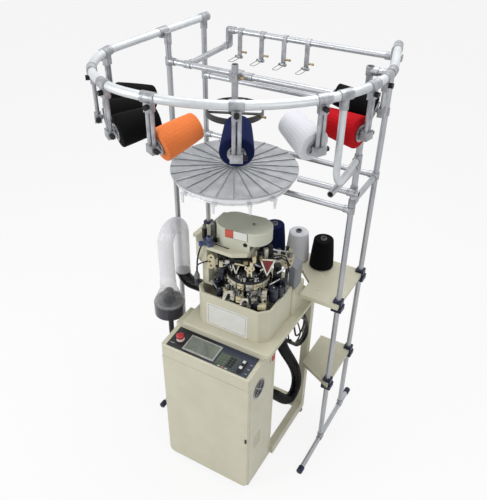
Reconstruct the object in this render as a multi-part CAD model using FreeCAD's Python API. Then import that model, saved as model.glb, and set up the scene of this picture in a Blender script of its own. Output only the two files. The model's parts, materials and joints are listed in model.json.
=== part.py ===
"""Single-cylinder knitting machine for socks and gloves, inside its free-standing yarn stand.

Lengths are in millimetres and angles in degrees.  While the pieces are made, X runs across the
machine with 0 midway between the left and right posts, Y runs to the rear with 0 at the front
posts, and Z is the height above the floor.  At the end everything is moved so that the origin
lies on the floor, below the middle of the whole.
"""
import FreeCAD, Part
import math
import os

V = FreeCAD.Vector
X_DIR = V(1, 0, 0)
Y_DIR = V(0, 1, 0)
Z_DIR = V(0, 0, 1)

# ---------------------------------------------------------------- clearances
SEAT_GAP = 0.3          # between a piece and what carries it
RUN_GAP = 1.0           # between a turning piece and its housing
SLEEVE_GAP = 0.1        # all round a tube in its fitting

# ---------------------------------------------------------------- tube stand
TUBE_D = 27.0
TUBE_WALL = 2.0
POST_HALF_SPAN = 472.5  # left and right posts, from the middle
POST_DEPTH = 298.0      # front posts to rear posts
FOOT_FRONT_Y = -283.0
FOOT_REAR_Y = 434.0
CAP_WALL = 4.0
CAP_LENGTH = 38.0
FITTING_WALL = 3.5
FITTING_REACH = 34.0    # middle of a fitting to the end of its branch
FITTING_HALF = 17.5     # half the length of a fitting's through sleeve
FRONT_LOW_BAR_Z = 1573.0
REAR_LOW_BAR_Z = 1611.0
FRONT_TOP_BAR_DROP = 126.0
REAR_TOP_BAR_DROP = 275.0
GUIDE_BAR_Z = 1676.0
GUIDE_BAR_LEFT_X = 222.0
FORWARD_BAR_Z = 1790.0
FORWARD_BAR_Y = -285.0
BRACE_BEND_R = 105.0
BRACE_STATION = 1975.0  # where the brace hangs from the rail
STOP_ARM_X = -368.0
STOP_BAR_Y = 362.0
STOP_BAR_DROP = 58.0     # the bars below the rail's middle
LINK_DROP = 10.0        # link to the rail, below the rail's middle

# ---------------------------------------------------------------- ring rail
RAIL_Z = 2200.0
RAIL_D = 34.0
RAIL_WALL = 2.0
RAIL_START_TURN = 5.4   # the left run spreads outwards by this angle
RAIL_LEFT_RUN = 564.0
RAIL_CORNER_R = 379.5
RAIL_CORNER_TURN = 92.2
RAIL_FRONT_R = 718.0
RAIL_FRONT_TURN = 60.9
RAIL_SIDE_R = 531.0
RAIL_SIDE_TURN = 47.7
RAIL_RIGHT_RUN = 268.0
RAIL_SLEEVE_WALL = 3.5
RAIL_SLEEVE_LENGTH = 54.0

# ---------------------------------------------------------------- cone drops
# distance of each drop along the rail from its left end
DROP_STATIONS = (660.0, 880.0, 1052.0, 1272.0, 1584.0, 1888.0, 2124.0, 2235.0)
# how far each cone is turned from the square to the rail, and tipped up at its free end
DROP_TURNS = (5.0, 0.0, -11.0, -29.0, -1.0, 8.0, 0.0, 7.0)
DROP_LIFTS = (6.0, 6.0, 8.0, 14.0, 12.0, 14.0, 2.0, 14.0)
DROP_LENGTH = 190.0     # rail middle to foot block middle
SHORT_DROP_LENGTH = 134.0
SHORT_DROPS = (7,)      # the last drop is a short one
ORANGE_DROPS = (3,)
NAVY_DROPS = (4,)
WHITE_DROPS = (5,)
RED_DROPS = (6,)
BLACK_DROPS = (0, 1, 2)
DROP_ROD_D = 16.0
DROP_ROD_PITCH = 19.0
DROP_HEAD_H = 26.0
DROP_FOOT_W = 46.0
DROP_FOOT_H = 32.0
DROP_FOOT_T = 28.0
KNOB_D = 20.0
KNOB_LENGTH = 16.0
KNOB_GROOVES = 6
KNOB_SCREW_D = 8.0
KNOB_SCREW_LENGTH = 9.0

# ---------------------------------------------------------------- cones of yarn
CONE_BASE_R = 64.0
CONE_TIP_R = 51.0
USED_CONE_BASE_R = 50.0  # the cone on the short drop is partly used
USED_CONE_TIP_R = 41.0
CONE_LENGTH = 165.0
CONE_EDGE_R = 7.0
CORE_BASE_R = 29.0
CORE_TIP_R = 15.0
CORE_WALL = 1.6
CORE_BASE_OUT = 3.0
CORE_TIP_OUT = 7.0
HOLDER_FLANGE_R = 34.0
HOLDER_FLANGE_T = 4.0
HOLDER_WINDOWS = 5
HOLDER_WINDOW_R = 6.8
HOLDER_WINDOW_OUT = 21.08
HOLDER_PLUG_LENGTH = 58.0
HOLDER_STEM_D = 14.0
HOLDER_STEM_LENGTH = 12.0
HOLDER_SHOULDER_R = 9.5
HOLDER_SHOULDER_T = 4.0

# ---------------------------------------------------------------- shelf plates
SHELF_T = 3.0
SHELF_LIP = 22.0
UPPER_SHELF_Z = 1050.0
LOWER_SHELF_Z = 500.0
SHELF_REAR_Y = 312.0
SHELF_FRONT_Y = -40.0
UPPER_WING_W = 205.0    # the right wing's width
UPPER_STRIP_Y = 152.0
UPPER_WING_CUT = 75.0
LOWER_SHELF_W = 191.0
LOWER_CORNER_CUT = 95.0
SHELF_HOLE_D = 7.0
# two screw holes, from the wing's front left corner
SHELF_HOLES = ((65.0, 70.0), (40.0, 195.0))
CLAMP_W = 44.0
CLAMP_LEDGE = 5.0
CLAMP_H = 26.0
CLAMP_RISE = 14.0       # top of the clamp above the plate
SHELF_CONE_Y = 243.0
SHELF_CONE_X = 272.0    # black cone
SHELF_CONE_PITCH = 142.0

# ---------------------------------------------------------------- guide disc
POST_X = -106.0
DISC_Z = 1652.0
DISC_R = 302.0
DISC_T = 2.0
DISC_CONE_H = 10.0      # the disc's rim lies this much lower than its middle
DISC_LIP = 9.0
DISC_ROD_D = 5.0
DISC_ROD_COUNT = 24
DISC_HUB_R = 34.0
DISC_HUB_H = 26.0
CENTRE_POST_D = 30.0
CENTRE_POST_TOP = 2128.0
SKIRT_R = 276.0
SKIRT_T = 2.0
SKIRT_H = 46.0
SKIRT_BEAD_D = 10.0
SPOUT_ANGLES = (-112.0, -78.0, -46.0, -22.0, 150.0)
SPOUT_LENGTH = 42.0
SPOUT_TOP_D = 20.0
SPOUT_END_D = 11.0
GUIDE_RING_R = 130.0
GUIDE_RING_BAND = 27.0
GUIDE_RING_T = 5.0
GUIDE_RING_LOW_Z = 1910.0
GUIDE_RING_SPOKES = 4
GUIDE_SPOKE_W = 18.0
GUIDE_SPOKE_TURN = 24.0
GUIDE_HUB_H = 27.0
POST_CLAMP_LEFT = 42.0    # the cross clamp's sleeve on the bar, either side of the post
POST_CLAMP_RIGHT = 71.0

# ---------------------------------------------------------------- yarn stops
STOP_FIRST_X = -300.0
STOP_PITCH = 118.0
STOP_COUNT = 4
STOP_DROP = 112.0
STOP_STRAP_W = 22.0
STOP_STRAP_T = 6.0
STOP_WIRE_D = 3.0
STOP_WIRE_L = 74.0
STOP_WIRE_W = 26.0
STOP_PIN_D = 6.0
BRASS_D = 9.0
BRASS_LENGTH = 26.0
BRASS_NECK_OUT = 9.1
BRASS_WAIST_OUT = 19.5
BRASS_WAIST_LENGTH = 5.2

# ---------------------------------------------------------------- cabinet
CAB_LEFT_X = -232.0
CAB_RIGHT_X = 272.0
CAB_FRONT_Y = -515.0
CAB_REAR_Y = -262.0
CAB_BOTTOM_Z = 28.0
CAB_SIDE_Z = 862.0      # front top edge
CAB_PANEL_Z = 878.0     # rear edge of the sloping panel
PANEL_REAR_Y = -394.0
DOOR_T = 18.0
DOOR_TOP_Z = 788.0
DOOR_GAP = 2.0
DOOR_WALL = 2.0
CAB_WALL = 3.0
CAB_FRAME = 20.0
DOOR_CORNER_R = 34.0
CAB_EDGE_R = 9.0
SEAM_IN = 22.0          # the side sheet's seam, from the rear
SEAM_W = 2.0
DOOR_EDGE_R = 5.4
HINGE_PIN_D = 6.0
HINGE_KNUCKLE_D = 11.0
HINGE_LENGTH = 60.0
HINGE_LOW_Z = 140.0
HINGE_HIGH_Z = 700.0
LATCH_Z = 420.0
LATCH_L = 26.0
LATCH_W = 10.0
LATCH_T = 4.0
FAN_Y = -432.0
FAN_Z = 722.0
FAN_D = 96.0
FAN_DEPTH = 34.0
FAN_BLADES = 7
FAN_HUB_R = 17.0
FAN_PITCH = 38.0        # angle of a blade
FAN_TIP_GAP = 4.0
FAN_BLADE_T = 2.0
GUARD_T = 3.0
GUARD_RINGS = 3
LOUVRE_Y = -430.0
LOUVRE_Z = 290.0
LOUVRE_L = 74.0
LOUVRE_H = 4.0
LOUVRE_PITCH = 14.0
LOUVRE_COUNT = 7

# ---------------------------------------------------------------- control panel
PANEL_LEFT_X = -206.0
PANEL_RIGHT_X = 250.0
PANEL_T = 3.0
BEZEL_W = 179.0
BEZEL_D = 100.0
BEZEL_FROM_LEFT = 87.0
BEZEL_T = 5.0
BEZEL_FRAME = 8.0
BEZEL_CHAMFER = 1.5
KEY_SIZE = 15.0
KEY_T = 5.0
KEY_EDGE_R = 1.5
KEY_TRAVEL = 1.0
KEY_FROM_RIGHT = 53.0
KEY_PITCH = 36.0
ESTOP_FROM_LEFT = 46.0
ESTOP_COLLAR_R = 21.0
ESTOP_COLLAR_TOP_R = 16.8
ESTOP_COLLAR_H = 12.0
ESTOP_HEAD_R = 20.0
ESTOP_HEAD_H = 15.0
ESTOP_HEAD_EDGE_R = 6.75
ESTOP_STEM_R = 9.0
ESTOP_TRAVEL = 4.0
ROCKER_W = 26.0
ROCKER_H = 38.0
ROCKER_T = 9.0
ROCKER_CREST = 5.94     # the two ends of its face, out from the pivot
ROCKER_VALLEY = 3.465
ROCKER_BACK_H = 30.4
ROCKER_PLATE_T = 4.0
ROCKER_PLATE_MARGIN = 12.0
ROCKER_Y = -296.0
ROCKER_Z = 826.0
ROCKER_PIN_R = 2.0
ROCKER_PIN_OUT = 3.0

# ---------------------------------------------------------------- table and base frame
TABLE_LEFT_X = -195.0
TABLE_RIGHT_X = 304.0
TABLE_FRONT_Y = -402.0
TABLE_REAR_Y = 190.0
TABLE_BOTTOM_Z = 904.0
TABLE_T = 21.0
TABLE_EDGE_R = 5.0
LEG_W = 40.0
LEG_OUT_X = 290.0
LEG_LEFT_X = -195.0
BEAM_H = 60.0
BEAM_Z = 30.0
LEG_REAR_Y = 158.0
FOOT_PAD_R = 22.0
FOOT_PAD_H = 10.0
FOOT_STEM_R = 6.0

# ---------------------------------------------------------------- knitting head
POT_LEFT_X = -148.0
POT_RIGHT_X = 256.0
POT_FRONT_Y = -348.0
POT_REAR_Y = -84.0
POT_H = 190.0
POT_WALL = 14.0
POT_RIM_R = 2.5
POT_DEPTH = 95.0
POT_CHAMFER = 46.0
POT_INNER_CHAMFER = 40.0
DECK_RIGHT_X = 268.0
DECK_REAR_Y = 40.0
DECK_H = 162.0
DECK_EDGE_R = 8.0
COLUMN_LEFT_X = -190.0
COLUMN_RIGHT_X = -108.0
COLUMN_FRONT_Y = -120.0
COLUMN_REAR_Y = 10.0
ARM_BOTTOM_Z = 1322.0
ARM_T = 36.0
ARM_PLATE_T = 18.0
ARM_CORE_R = 70.0
ARM_FRONT_Y = -300.0
ARM_REAR_Y = -76.0
ARM_CORNER_R = 68.0
ARM_SLANT_X = 35.0        # from here the front edge runs in to the arm's right end
ARM_NOSE_Y = -262.0
SHOULDER_RIGHT_X = -100.0
SHOULDER_REAR_Y = -105.0
SHOULDER_LOW_Z = 1235.0
SHOULDER_EDGE_R = 40.0
PILLAR_X = -123.5
PILLAR_W = 33.0
PILLAR_FRONT_Y = -275.0
PILLAR_D = 53.0
PILLAR_TOE = 22.0
PILLAR_TOE_H = 15.0
HEAD_X = 76.0           # axis of the needle cylinder
HEAD_Y = -205.0
COVER_RIGHT_X = 82.0
COVER_RIGHT_Y = -160.0
COVER_LEFT_X = -24.0
COVER_SKEW = 12.0       # the cover's left end lies this much further to the front
COVER_R = 83.0
COVER_H = 98.0
COVER_STEP_X = 98.0      # right of this the cover ends higher, clear of the arm
COVER_STEP_H = 33.0
COVER_WALL = 2.5
COVER_EDGE_R = 5.0
COVER_HOLE_D = 14.0
COVER_HOLE_X = 77.0
COVER_HOLE_RISE = 34.0
DRIVE_W = 62.0
DRIVE_D = 76.0
DRIVE_H = 150.0
DRIVE_X = 232.0
DRIVE_Y = -26.0
DRIVE_SLOPE = 26.0
DRIVE_EDGE_R = 9.0
CYL_R = 52.0
CYL_H = 168.0
CYL_BORE_R = 40.0
TRICK_COUNT = 36
TRICK_W = 3.0
TRICK_DEPTH = 2.5
TRICK_LENGTH = 62.0
CAM_FOOT_IN_R = 70.0
CAM_FOOT_OUT_R = 94.0
CAM_OUTER_R = 116.0
CAM_RISE = 6.0          # cam plate above the pot's rim
CAM_H = 26.0
CAM_LUG_H = 15.6
CAM_LUG_ROOT = 8.0      # how far a lug reaches into the ring
CAM_LUG_COUNT = 8
CAM_LUG_R = 142.0
CAM_LUG_W = 26.0
CAM_SHELL_R = 66.0
CAM_SHELL_H = 28.0
BLOCK_COUNT = 8
BLOCK_IN_R = 74.0
BLOCK_OUT_R = 98.0
BLOCK_ANGLE = 30.0
BLOCK_H = 24.0
BLOCK_RISE = 14.0
BLOCK_POST_W = 20.0
HANGING_ANGLES = (-155.0, -110.0, -60.0, -15.0)
HANGING_IN_R = 108.0
HANGING_OUT_R = 130.0
HANGING_H = 62.0
DIAL_R = 46.0
DIAL_T = 9.0
DIAL_GAP = 5.0
DIAL_SHAFT_R = 9.0
DIAL_BOSS_R = 24.0
DIAL_BOSS_TOP_R = 31.2
DIAL_BOSS_H = 58.0
DIAL_SLOTS = 24
DIAL_SLOT_IN_R = 23.0
DIAL_CAP_R = 20.7
DIAL_CAP_TOP_R = 10.8
FINGER_COUNT = 6
FINGER_FIRST_BLOCK = 4   # first block, counted from the right, with a yarn finger
FINGER_W = 44.0
FINGER_H = 56.0
FINGER_T = 4.0
FINGER_FRAME = 5.0
FINGER_SIDE = 8.0       # its slanted sides, measured level
FINGER_POINT = 15.0     # solid height at its lower corner
FINGER_STEM = 9.0

# ---------------------------------------------------------------- suction
JAR_X = -338.0
JAR_Y = -302.0
JAR_R = 82.0
JAR_NECK_R = 43.5
JAR_NECK_H = 32.8
JAR_BOTTOM_Z = 862.0
JAR_BAND_H = 70.0
JAR_CONE_H = 92.0
JAR_WALL = 2.5
DUCT_R = 40.0
DUCT_WALL = 2.0
DUCT_TOP_Z = 1286.0
DUCT_BEND_R = 68.0
DUCT_REAR_Z = 1046.0
ELBOW_R = 34.0
OUTLET_Z = 985.0
STAND_POST_R = 14.0
STAND_PLATE_R = 60.0
STAND_PLATE_T = 5.0
STAND_BRACKET_Z = 560.0
STAND_BRACKET_W = 60.0
STAND_BRACKET_H = 90.0
HOSE_D = 54.0
HOSE_WALL = 3.0
HOSE_COLLAR_WALL = 4.0
HOSE_COLLAR_H = 26.0
# corners of the hose's route from the table down to the cabinet's rear wall
HOSE_ROUTE = (
    (266.0, -200.0, 904.0),
    (266.0, -200.0, 800.0),
    (267.0, 88.0, 330.0),
    (267.0, 84.0, 205.0),
    (262.0, -20.0, 205.0),
    (232.0, -200.0, 470.0),
    (232.0, -262.0, 470.0),
)
LOOM_D = 20.0
LOOM_ROUTE = (
    (266.0, 64.0, 904.0),
    (266.0, 64.0, 840.0),
    (284.0, 100.0, 745.0),
    (284.0, 98.0, 650.0),
    (279.0, 8.0, 655.0),
    (260.0, -90.0, 757.0),
    (212.0, -160.0, 850.0),
    (212.0, -262.0, 850.0),
)

# ---------------------------------------------------------------- worked-out sizes
TUBE_R = TUBE_D / 2
STOP_BAR_Z = RAIL_Z - STOP_BAR_DROP
FRONT_TOP_BAR_Z = RAIL_Z - FRONT_TOP_BAR_DROP
REAR_TOP_BAR_Z = RAIL_Z - REAR_TOP_BAR_DROP
SHELF_SIDE_X = POST_HALF_SPAN + TUBE_R     # flush with the posts
UPPER_WING_X = SHELF_SIDE_X - UPPER_WING_W
LOWER_SHELF_X = SHELF_SIDE_X - LOWER_SHELF_W
RAIL_R = RAIL_D / 2
KNOB_GROOVE_R = KNOB_D / 9
FITTING_R = TUBE_R + FITTING_WALL
SEAT = TUBE_R + SEAT_GAP
CAP_R = TUBE_R + CAP_WALL
FOOT_Z = max(CAP_R, FITTING_R)
DISC_Y = -(CENTRE_POST_D / 2 + FITTING_WALL + TUBE_R)   # the post stands in front of the top bar
TABLE_TOP_Z = TABLE_BOTTOM_Z + TABLE_T
POT_TOP_Z = TABLE_TOP_Z + POT_H
DECK_TOP_Z = TABLE_TOP_Z + DECK_H
COVER_BOTTOM_Z = ARM_BOTTOM_Z + ARM_T
DOOR_FRONT_Y = CAB_FRONT_Y - DOOR_GAP - DOOR_T
PANEL_SLOPE = math.degrees(math.atan2(CAB_PANEL_Z - CAB_SIDE_Z, PANEL_REAR_Y - DOOR_FRONT_Y))


# ---------------------------------------------------------------- working values of the script
TINY = 0.01             # slack where edges are picked by their place
CROSSING_STEPS = 30     # steps of the search along the rail
BEND_SHARE = 0.45       # share of a run that a bend may take


# ================================================================ basic forms
def box(x0, x1, y0, y1, z0, z1):
    return Part.makeBox(x1 - x0, y1 - y0, z1 - z0, V(x0, y0, z0))


def rod(start, end, radius):
    start = V(start)
    way = V(end) - start
    return Part.makeCylinder(radius, way.Length, start, way)


def tube(start, end, radius, wall):
    return rod(start, end, radius).cut(rod(start, end, radius - wall))


def taper(start, end, start_radius, end_radius):
    start = V(start)
    way = V(end) - start
    return Part.makeCone(start_radius, end_radius, way.Length, start, way)


def disc(centre, axis, radius, height):
    return Part.makeCylinder(radius, height, V(centre), axis)


def collar(centre, axis, outer, inner, height):
    return disc(centre, axis, outer, height).cut(disc(centre, axis, inner, height))


def prism(points, way):
    """A closed outline of (x, y, z) corners pushed along a vector."""
    corners = [V(*p) for p in points]
    face = Part.Face(Part.makePolygon(corners + [corners[0]]))
    return face.extrude(way)


def turned(profile, origin, axis):
    """A closed outline of (radius, height) corners turned about an axis."""
    corners = [V(r, 0, h) for r, h in profile]
    face = Part.Face(Part.makePolygon(corners + [corners[0]]))
    solid = face.revolve(V(0, 0, 0), Z_DIR, 360)
    solid.Placement = FreeCAD.Placement(V(origin), FreeCAD.Rotation(Z_DIR, axis))
    return solid


def fused(shapes):
    whole = shapes[0].multiFuse(shapes[1:]) if len(shapes) > 1 else shapes[0]
    return whole.removeSplitter()


def group(shapes):
    return Part.makeCompound([solid for shape in shapes for solid in shape.Solids])


def spun(shape, centre, angle, axis=Z_DIR):
    copy = shape.copy()
    copy.rotate(V(centre), axis, angle)
    return copy


def upright_edges(shape, x0, x1, y0, y1):
    """Upright edges of a box-like solid that lie on the given corner lines."""
    found = []
    for edge in shape.Edges:
        bounds = edge.BoundBox
        flat = bounds.XLength < TINY and bounds.YLength < TINY
        on_x = min(abs(bounds.XMin - x0), abs(bounds.XMin - x1)) < TINY
        on_y = min(abs(bounds.YMin - y0), abs(bounds.YMin - y1)) < TINY
        if flat and on_x and on_y:
            found.append(edge)
    return found


def level_edges(shape, z):
    return [e for e in shape.Edges if e.BoundBox.ZLength < TINY and abs(e.BoundBox.ZMin - z) < TINY]


def fitting(at, through, branches):
    """Cast tube fitting: a sleeve on the through tube and a socket for each branch."""
    at = V(at)
    body = []
    bores = []
    if through is not None:
        start = at - through * FITTING_HALF
        body.append(Part.makeCylinder(FITTING_R, 2 * FITTING_HALF, start, through))
        bores.append(Part.makeCylinder(TUBE_R + SLEEVE_GAP, 2 * FITTING_HALF, start, through))
    else:
        body.append(Part.makeSphere(FITTING_R, at))
    for way in branches:
        body.append(Part.makeCylinder(FITTING_R, FITTING_REACH, at, way))
        bores.append(Part.makeCylinder(TUBE_R + SLEEVE_GAP, FITTING_REACH, at + way * SEAT, way))
    return fused(body).cut(Part.makeCompound(bores))


# ================================================================ ring rail
def rail_pieces():
    """(length, radius or None) of each stretch of the rail, from its left end."""
    corner = RAIL_CORNER_R * math.radians(RAIL_CORNER_TURN)
    front = RAIL_FRONT_R * math.radians(RAIL_FRONT_TURN)
    side = RAIL_SIDE_R * math.radians(RAIL_SIDE_TURN)
    return (
        (RAIL_LEFT_RUN, None),
        (corner, RAIL_CORNER_R),
        (front, RAIL_FRONT_R),
        (side, RAIL_SIDE_R),
        (RAIL_RIGHT_RUN, None),
    )


def rail_at(station):
    """Point and heading of the rail at a distance from its left end."""
    point = V(-POST_HALF_SPAN, POST_DEPTH, RAIL_Z)
    heading = math.radians(-90 - RAIL_START_TURN)
    left = station
    for length, radius in rail_pieces():
        step = min(left, length)
        if radius is None:
            point = point + V(math.cos(heading), math.sin(heading), 0) * step
        else:
            turn = step / radius
            centre = point + V(-math.sin(heading), math.cos(heading), 0) * radius
            heading = heading + turn
            point = centre + V(math.sin(heading), -math.cos(heading), 0) * radius
        left = left - step
        if left <= 0:
            break
    return point, V(math.cos(heading), math.sin(heading), 0)


def rail_solid(radius):
    edges = []
    station = 0.0
    for length, bend in rail_pieces():
        start, _ = rail_at(station)
        middle, _ = rail_at(station + length / 2)
        end, _ = rail_at(station + length)
        if bend is None:
            edges.append(Part.LineSegment(start, end).toShape())
        else:
            edges.append(Part.Arc(start, middle, end).toShape())
        station = station + length
    start, heading = rail_at(0.0)
    ring = Part.Wire(Part.makeCircle(radius, start, heading))
    return Part.Wire(edges).makePipeShell([ring], True, False)


def rail_length():
    return sum(length for length, _ in rail_pieces())


def rail_sleeve(station):
    point, way = rail_at(station)
    start = point - way * (RAIL_SLEEVE_LENGTH / 2)
    return Part.makeCylinder(RAIL_R + RAIL_SLEEVE_WALL, RAIL_SLEEVE_LENGTH, start, way)


def station_at_depth(y, near):
    """Station of the rail's crossing of a depth, searched for near a first guess."""
    station = near
    for _ in range(CROSSING_STEPS):
        point, way = rail_at(station)
        station = station + (y - point.y) / way.y
    return station


LEFT_POST_STATION = station_at_depth(0.0, POST_DEPTH)
RIGHT_LINK_STATION = station_at_depth(0.0, rail_length() - POST_DEPTH)
RIGHT_POST_STATION = station_at_depth(POST_DEPTH, rail_length() - RAIL_D)
RAIL_BORE = rail_solid(RAIL_R + SLEEVE_GAP)


def ring_rail():
    return rail_solid(RAIL_R).cut(rail_solid(RAIL_R - RAIL_WALL))


# ================================================================ stand tubes
def post_tops():
    """Axis point on the floor side and top height of each upright, with its way up."""
    below_rail = RAIL_Z - RAIL_R - SEAT_GAP
    return (
        (-POST_HALF_SPAN, 0.0, below_rail - FITTING_WALL),
        (POST_HALF_SPAN, 0.0, RAIL_Z + LINK_DROP / 2),
        (-POST_HALF_SPAN, POST_DEPTH, below_rail),
        (POST_HALF_SPAN, POST_DEPTH, below_rail),
    )


def stand_uprights():
    tubes = []
    for x, y, top in post_tops():
        tubes.append(tube((x, y, FOOT_Z + SEAT), (x, y, top), TUBE_R, TUBE_WALL))
    return group(tubes)


def foot_tubes():
    tubes = []
    for x in (-POST_HALF_SPAN, POST_HALF_SPAN):
        tubes.append(tube((x, FOOT_FRONT_Y, FOOT_Z), (x, FOOT_REAR_Y, FOOT_Z), TUBE_R, TUBE_WALL))
    return group(tubes)


def foot_caps():
    caps = []
    for x in (-POST_HALF_SPAN, POST_HALF_SPAN):
        for y, way in ((FOOT_FRONT_Y, Y_DIR), (FOOT_REAR_Y, -Y_DIR)):
            outer_end = V(x, y, FOOT_Z) - way * (CAP_WALL + SEAT_GAP)
            body = Part.makeCylinder(CAP_R, CAP_LENGTH, outer_end, way)
            rim = [e for e in body.Edges if abs(e.BoundBox.YMin - outer_end.y) < TINY
                   and e.BoundBox.YLength < TINY]
            body = body.makeFillet(CAP_WALL, rim)
            bore = Part.makeCylinder(TUBE_R + SLEEVE_GAP, CAP_LENGTH, V(x, y, FOOT_Z) - way * SEAT_GAP, way)
            caps.append(body.cut(bore))
    return group(caps)


def cross_bar(y, z):
    half = POST_HALF_SPAN - SEAT
    return tube((-half, y, z), (half, y, z), TUBE_R, TUBE_WALL)


def brace_points():
    """Rail point of the bent brace, its heel on the floor plan and its way to the post."""
    point, _ = rail_at(BRACE_STATION)
    foot = V(POST_HALF_SPAN, 0, 0)
    way = V(foot.x - point.x, foot.y - point.y, 0)
    way.normalize()
    return point, way


def brace_z():
    return FORWARD_BAR_Z + 2 * FITTING_HALF + SEAT_GAP


def bent_brace():
    point, way = brace_points()
    low_z = brace_z()
    top = V(point.x, point.y, RAIL_Z - RAIL_R - SEAT_GAP)
    bend_start = V(point.x, point.y, low_z + BRACE_BEND_R)
    bend_end = V(point.x, point.y, low_z) + way * BRACE_BEND_R
    slant = math.sqrt(0.5)
    middle = V(point.x, point.y, low_z + BRACE_BEND_R)
    middle = middle + way * (BRACE_BEND_R * (1 - slant)) - Z_DIR * (BRACE_BEND_R * slant)
    end = V(POST_HALF_SPAN, 0, low_z) - way * SEAT
    path = Part.Wire([
        Part.LineSegment(top, bend_start).toShape(),
        Part.Arc(bend_start, middle, bend_end).toShape(),
        Part.LineSegment(bend_end, end).toShape(),
    ])
    outer = path.makePipeShell([Part.Wire(Part.makeCircle(TUBE_R, top, Z_DIR))], True, False)
    inner = path.makePipeShell([Part.Wire(Part.makeCircle(TUBE_R - TUBE_WALL, top, Z_DIR))], True, False)
    return outer.cut(inner)


def guide_bar_y():
    return -(TUBE_D + FITTING_WALL)


def stop_bar_end_x():
    point, _ = rail_at(rail_length())
    return point.x - RAIL_R - FITTING_WALL


def link_bar_end_x():
    """Where the right link bar ends, clear of the slanting rail."""
    point, way = rail_at(RIGHT_LINK_STATION)
    return point.x - (RAIL_R + TUBE_R * abs(way.x)) / abs(way.y) - SEAT_GAP


def stand_bars():
    side_start = V(POST_HALF_SPAN, SEAT, REAR_LOW_BAR_Z)
    side_end = V(POST_HALF_SPAN, POST_DEPTH - SEAT, REAR_LOW_BAR_Z)
    forward_end = V(POST_HALF_SPAN, FORWARD_BAR_Y, FORWARD_BAR_Z)
    forward_start = V(POST_HALF_SPAN, -SEAT, FORWARD_BAR_Z)
    link_z = RAIL_Z - LINK_DROP
    guide_end_x = POST_HALF_SPAN + FITTING_REACH
    arm_start = V(STOP_ARM_X, SEAT, FRONT_TOP_BAR_Z)
    arm_end = V(STOP_ARM_X, STOP_BAR_Y - SEAT, FRONT_TOP_BAR_Z)
    riser_low = V(STOP_ARM_X, STOP_BAR_Y, FRONT_TOP_BAR_Z + SEAT)
    riser_high = V(STOP_ARM_X, STOP_BAR_Y, STOP_BAR_Z - SEAT)
    bar_left = V(STOP_ARM_X + SEAT, STOP_BAR_Y, STOP_BAR_Z)
    bar_right = V(stop_bar_end_x(), STOP_BAR_Y, STOP_BAR_Z)
    return group([
        cross_bar(0.0, FRONT_LOW_BAR_Z),
        cross_bar(0.0, FRONT_TOP_BAR_Z),
        cross_bar(POST_DEPTH, REAR_LOW_BAR_Z),
        cross_bar(POST_DEPTH, REAR_TOP_BAR_Z),
        tube(side_start, side_end, TUBE_R, TUBE_WALL),
        tube(forward_start, forward_end, TUBE_R, TUBE_WALL),
        tube((GUIDE_BAR_LEFT_X, guide_bar_y(), GUIDE_BAR_Z), (guide_end_x, guide_bar_y(), GUIDE_BAR_Z),
             TUBE_R, TUBE_WALL),
        tube((POST_HALF_SPAN + SEAT, 0, link_z), (link_bar_end_x(), 0, link_z), TUBE_R, TUBE_WALL),
        tube(arm_start, arm_end, TUBE_R, TUBE_WALL),
        tube(riser_low, riser_high, TUBE_R, TUBE_WALL),
        tube(bar_left, bar_right, TUBE_R, TUBE_WALL),
        centre_post(),
    ])


def rail_socket(station, x, y, depth):
    """Clamp round the rail with a socket for an upright tube just below it."""
    top = RAIL_Z
    socket = rod((x, y, top - depth), (x, y, top), FITTING_R)
    point, _ = rail_at(station)
    web = rod((point.x, point.y, top - depth / 2), (point.x, point.y, top), FITTING_R)
    return fused([rail_sleeve(station), socket, web])


def tube_fittings():
    left = -POST_HALF_SPAN
    right = POST_HALF_SPAN
    parts = []
    for x in (left, right):
        for y in (0.0, POST_DEPTH):
            parts.append(fitting((x, y, FOOT_Z), Y_DIR, [Z_DIR]))
    for y, z in ((0.0, FRONT_LOW_BAR_Z), (0.0, FRONT_TOP_BAR_Z), (POST_DEPTH, REAR_TOP_BAR_Z)):
        parts.append(fitting((left, y, z), Z_DIR, [X_DIR]))
        parts.append(fitting((right, y, z), Z_DIR, [-X_DIR]))
    parts.append(fitting((left, POST_DEPTH, REAR_LOW_BAR_Z), Z_DIR, [X_DIR]))
    parts.append(fitting((right, POST_DEPTH, REAR_LOW_BAR_Z), Z_DIR, [-X_DIR, -Y_DIR]))
    parts.append(fitting((right, 0, REAR_LOW_BAR_Z), Z_DIR, [Y_DIR]))
    parts.append(fitting((right, 0, FORWARD_BAR_Z), Z_DIR, [-Y_DIR]))
    _, brace_way = brace_points()
    parts.append(fitting((right, 0, brace_z()), Z_DIR, [-brace_way]))
    parts.append(fitting((STOP_ARM_X, 0, FRONT_TOP_BAR_Z), X_DIR, [Y_DIR]))
    parts.append(fitting((STOP_ARM_X, STOP_BAR_Y, FRONT_TOP_BAR_Z), None, [-Y_DIR, Z_DIR]))
    parts.append(fitting((STOP_ARM_X, STOP_BAR_Y, STOP_BAR_Z), None, [-Z_DIR, X_DIR]))
    parts.append(guide_bar_clamp())
    parts.append(link_fittings())
    parts.append(rail_post_fittings())
    parts.append(post_cross_clamp())
    return group(parts)


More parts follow.
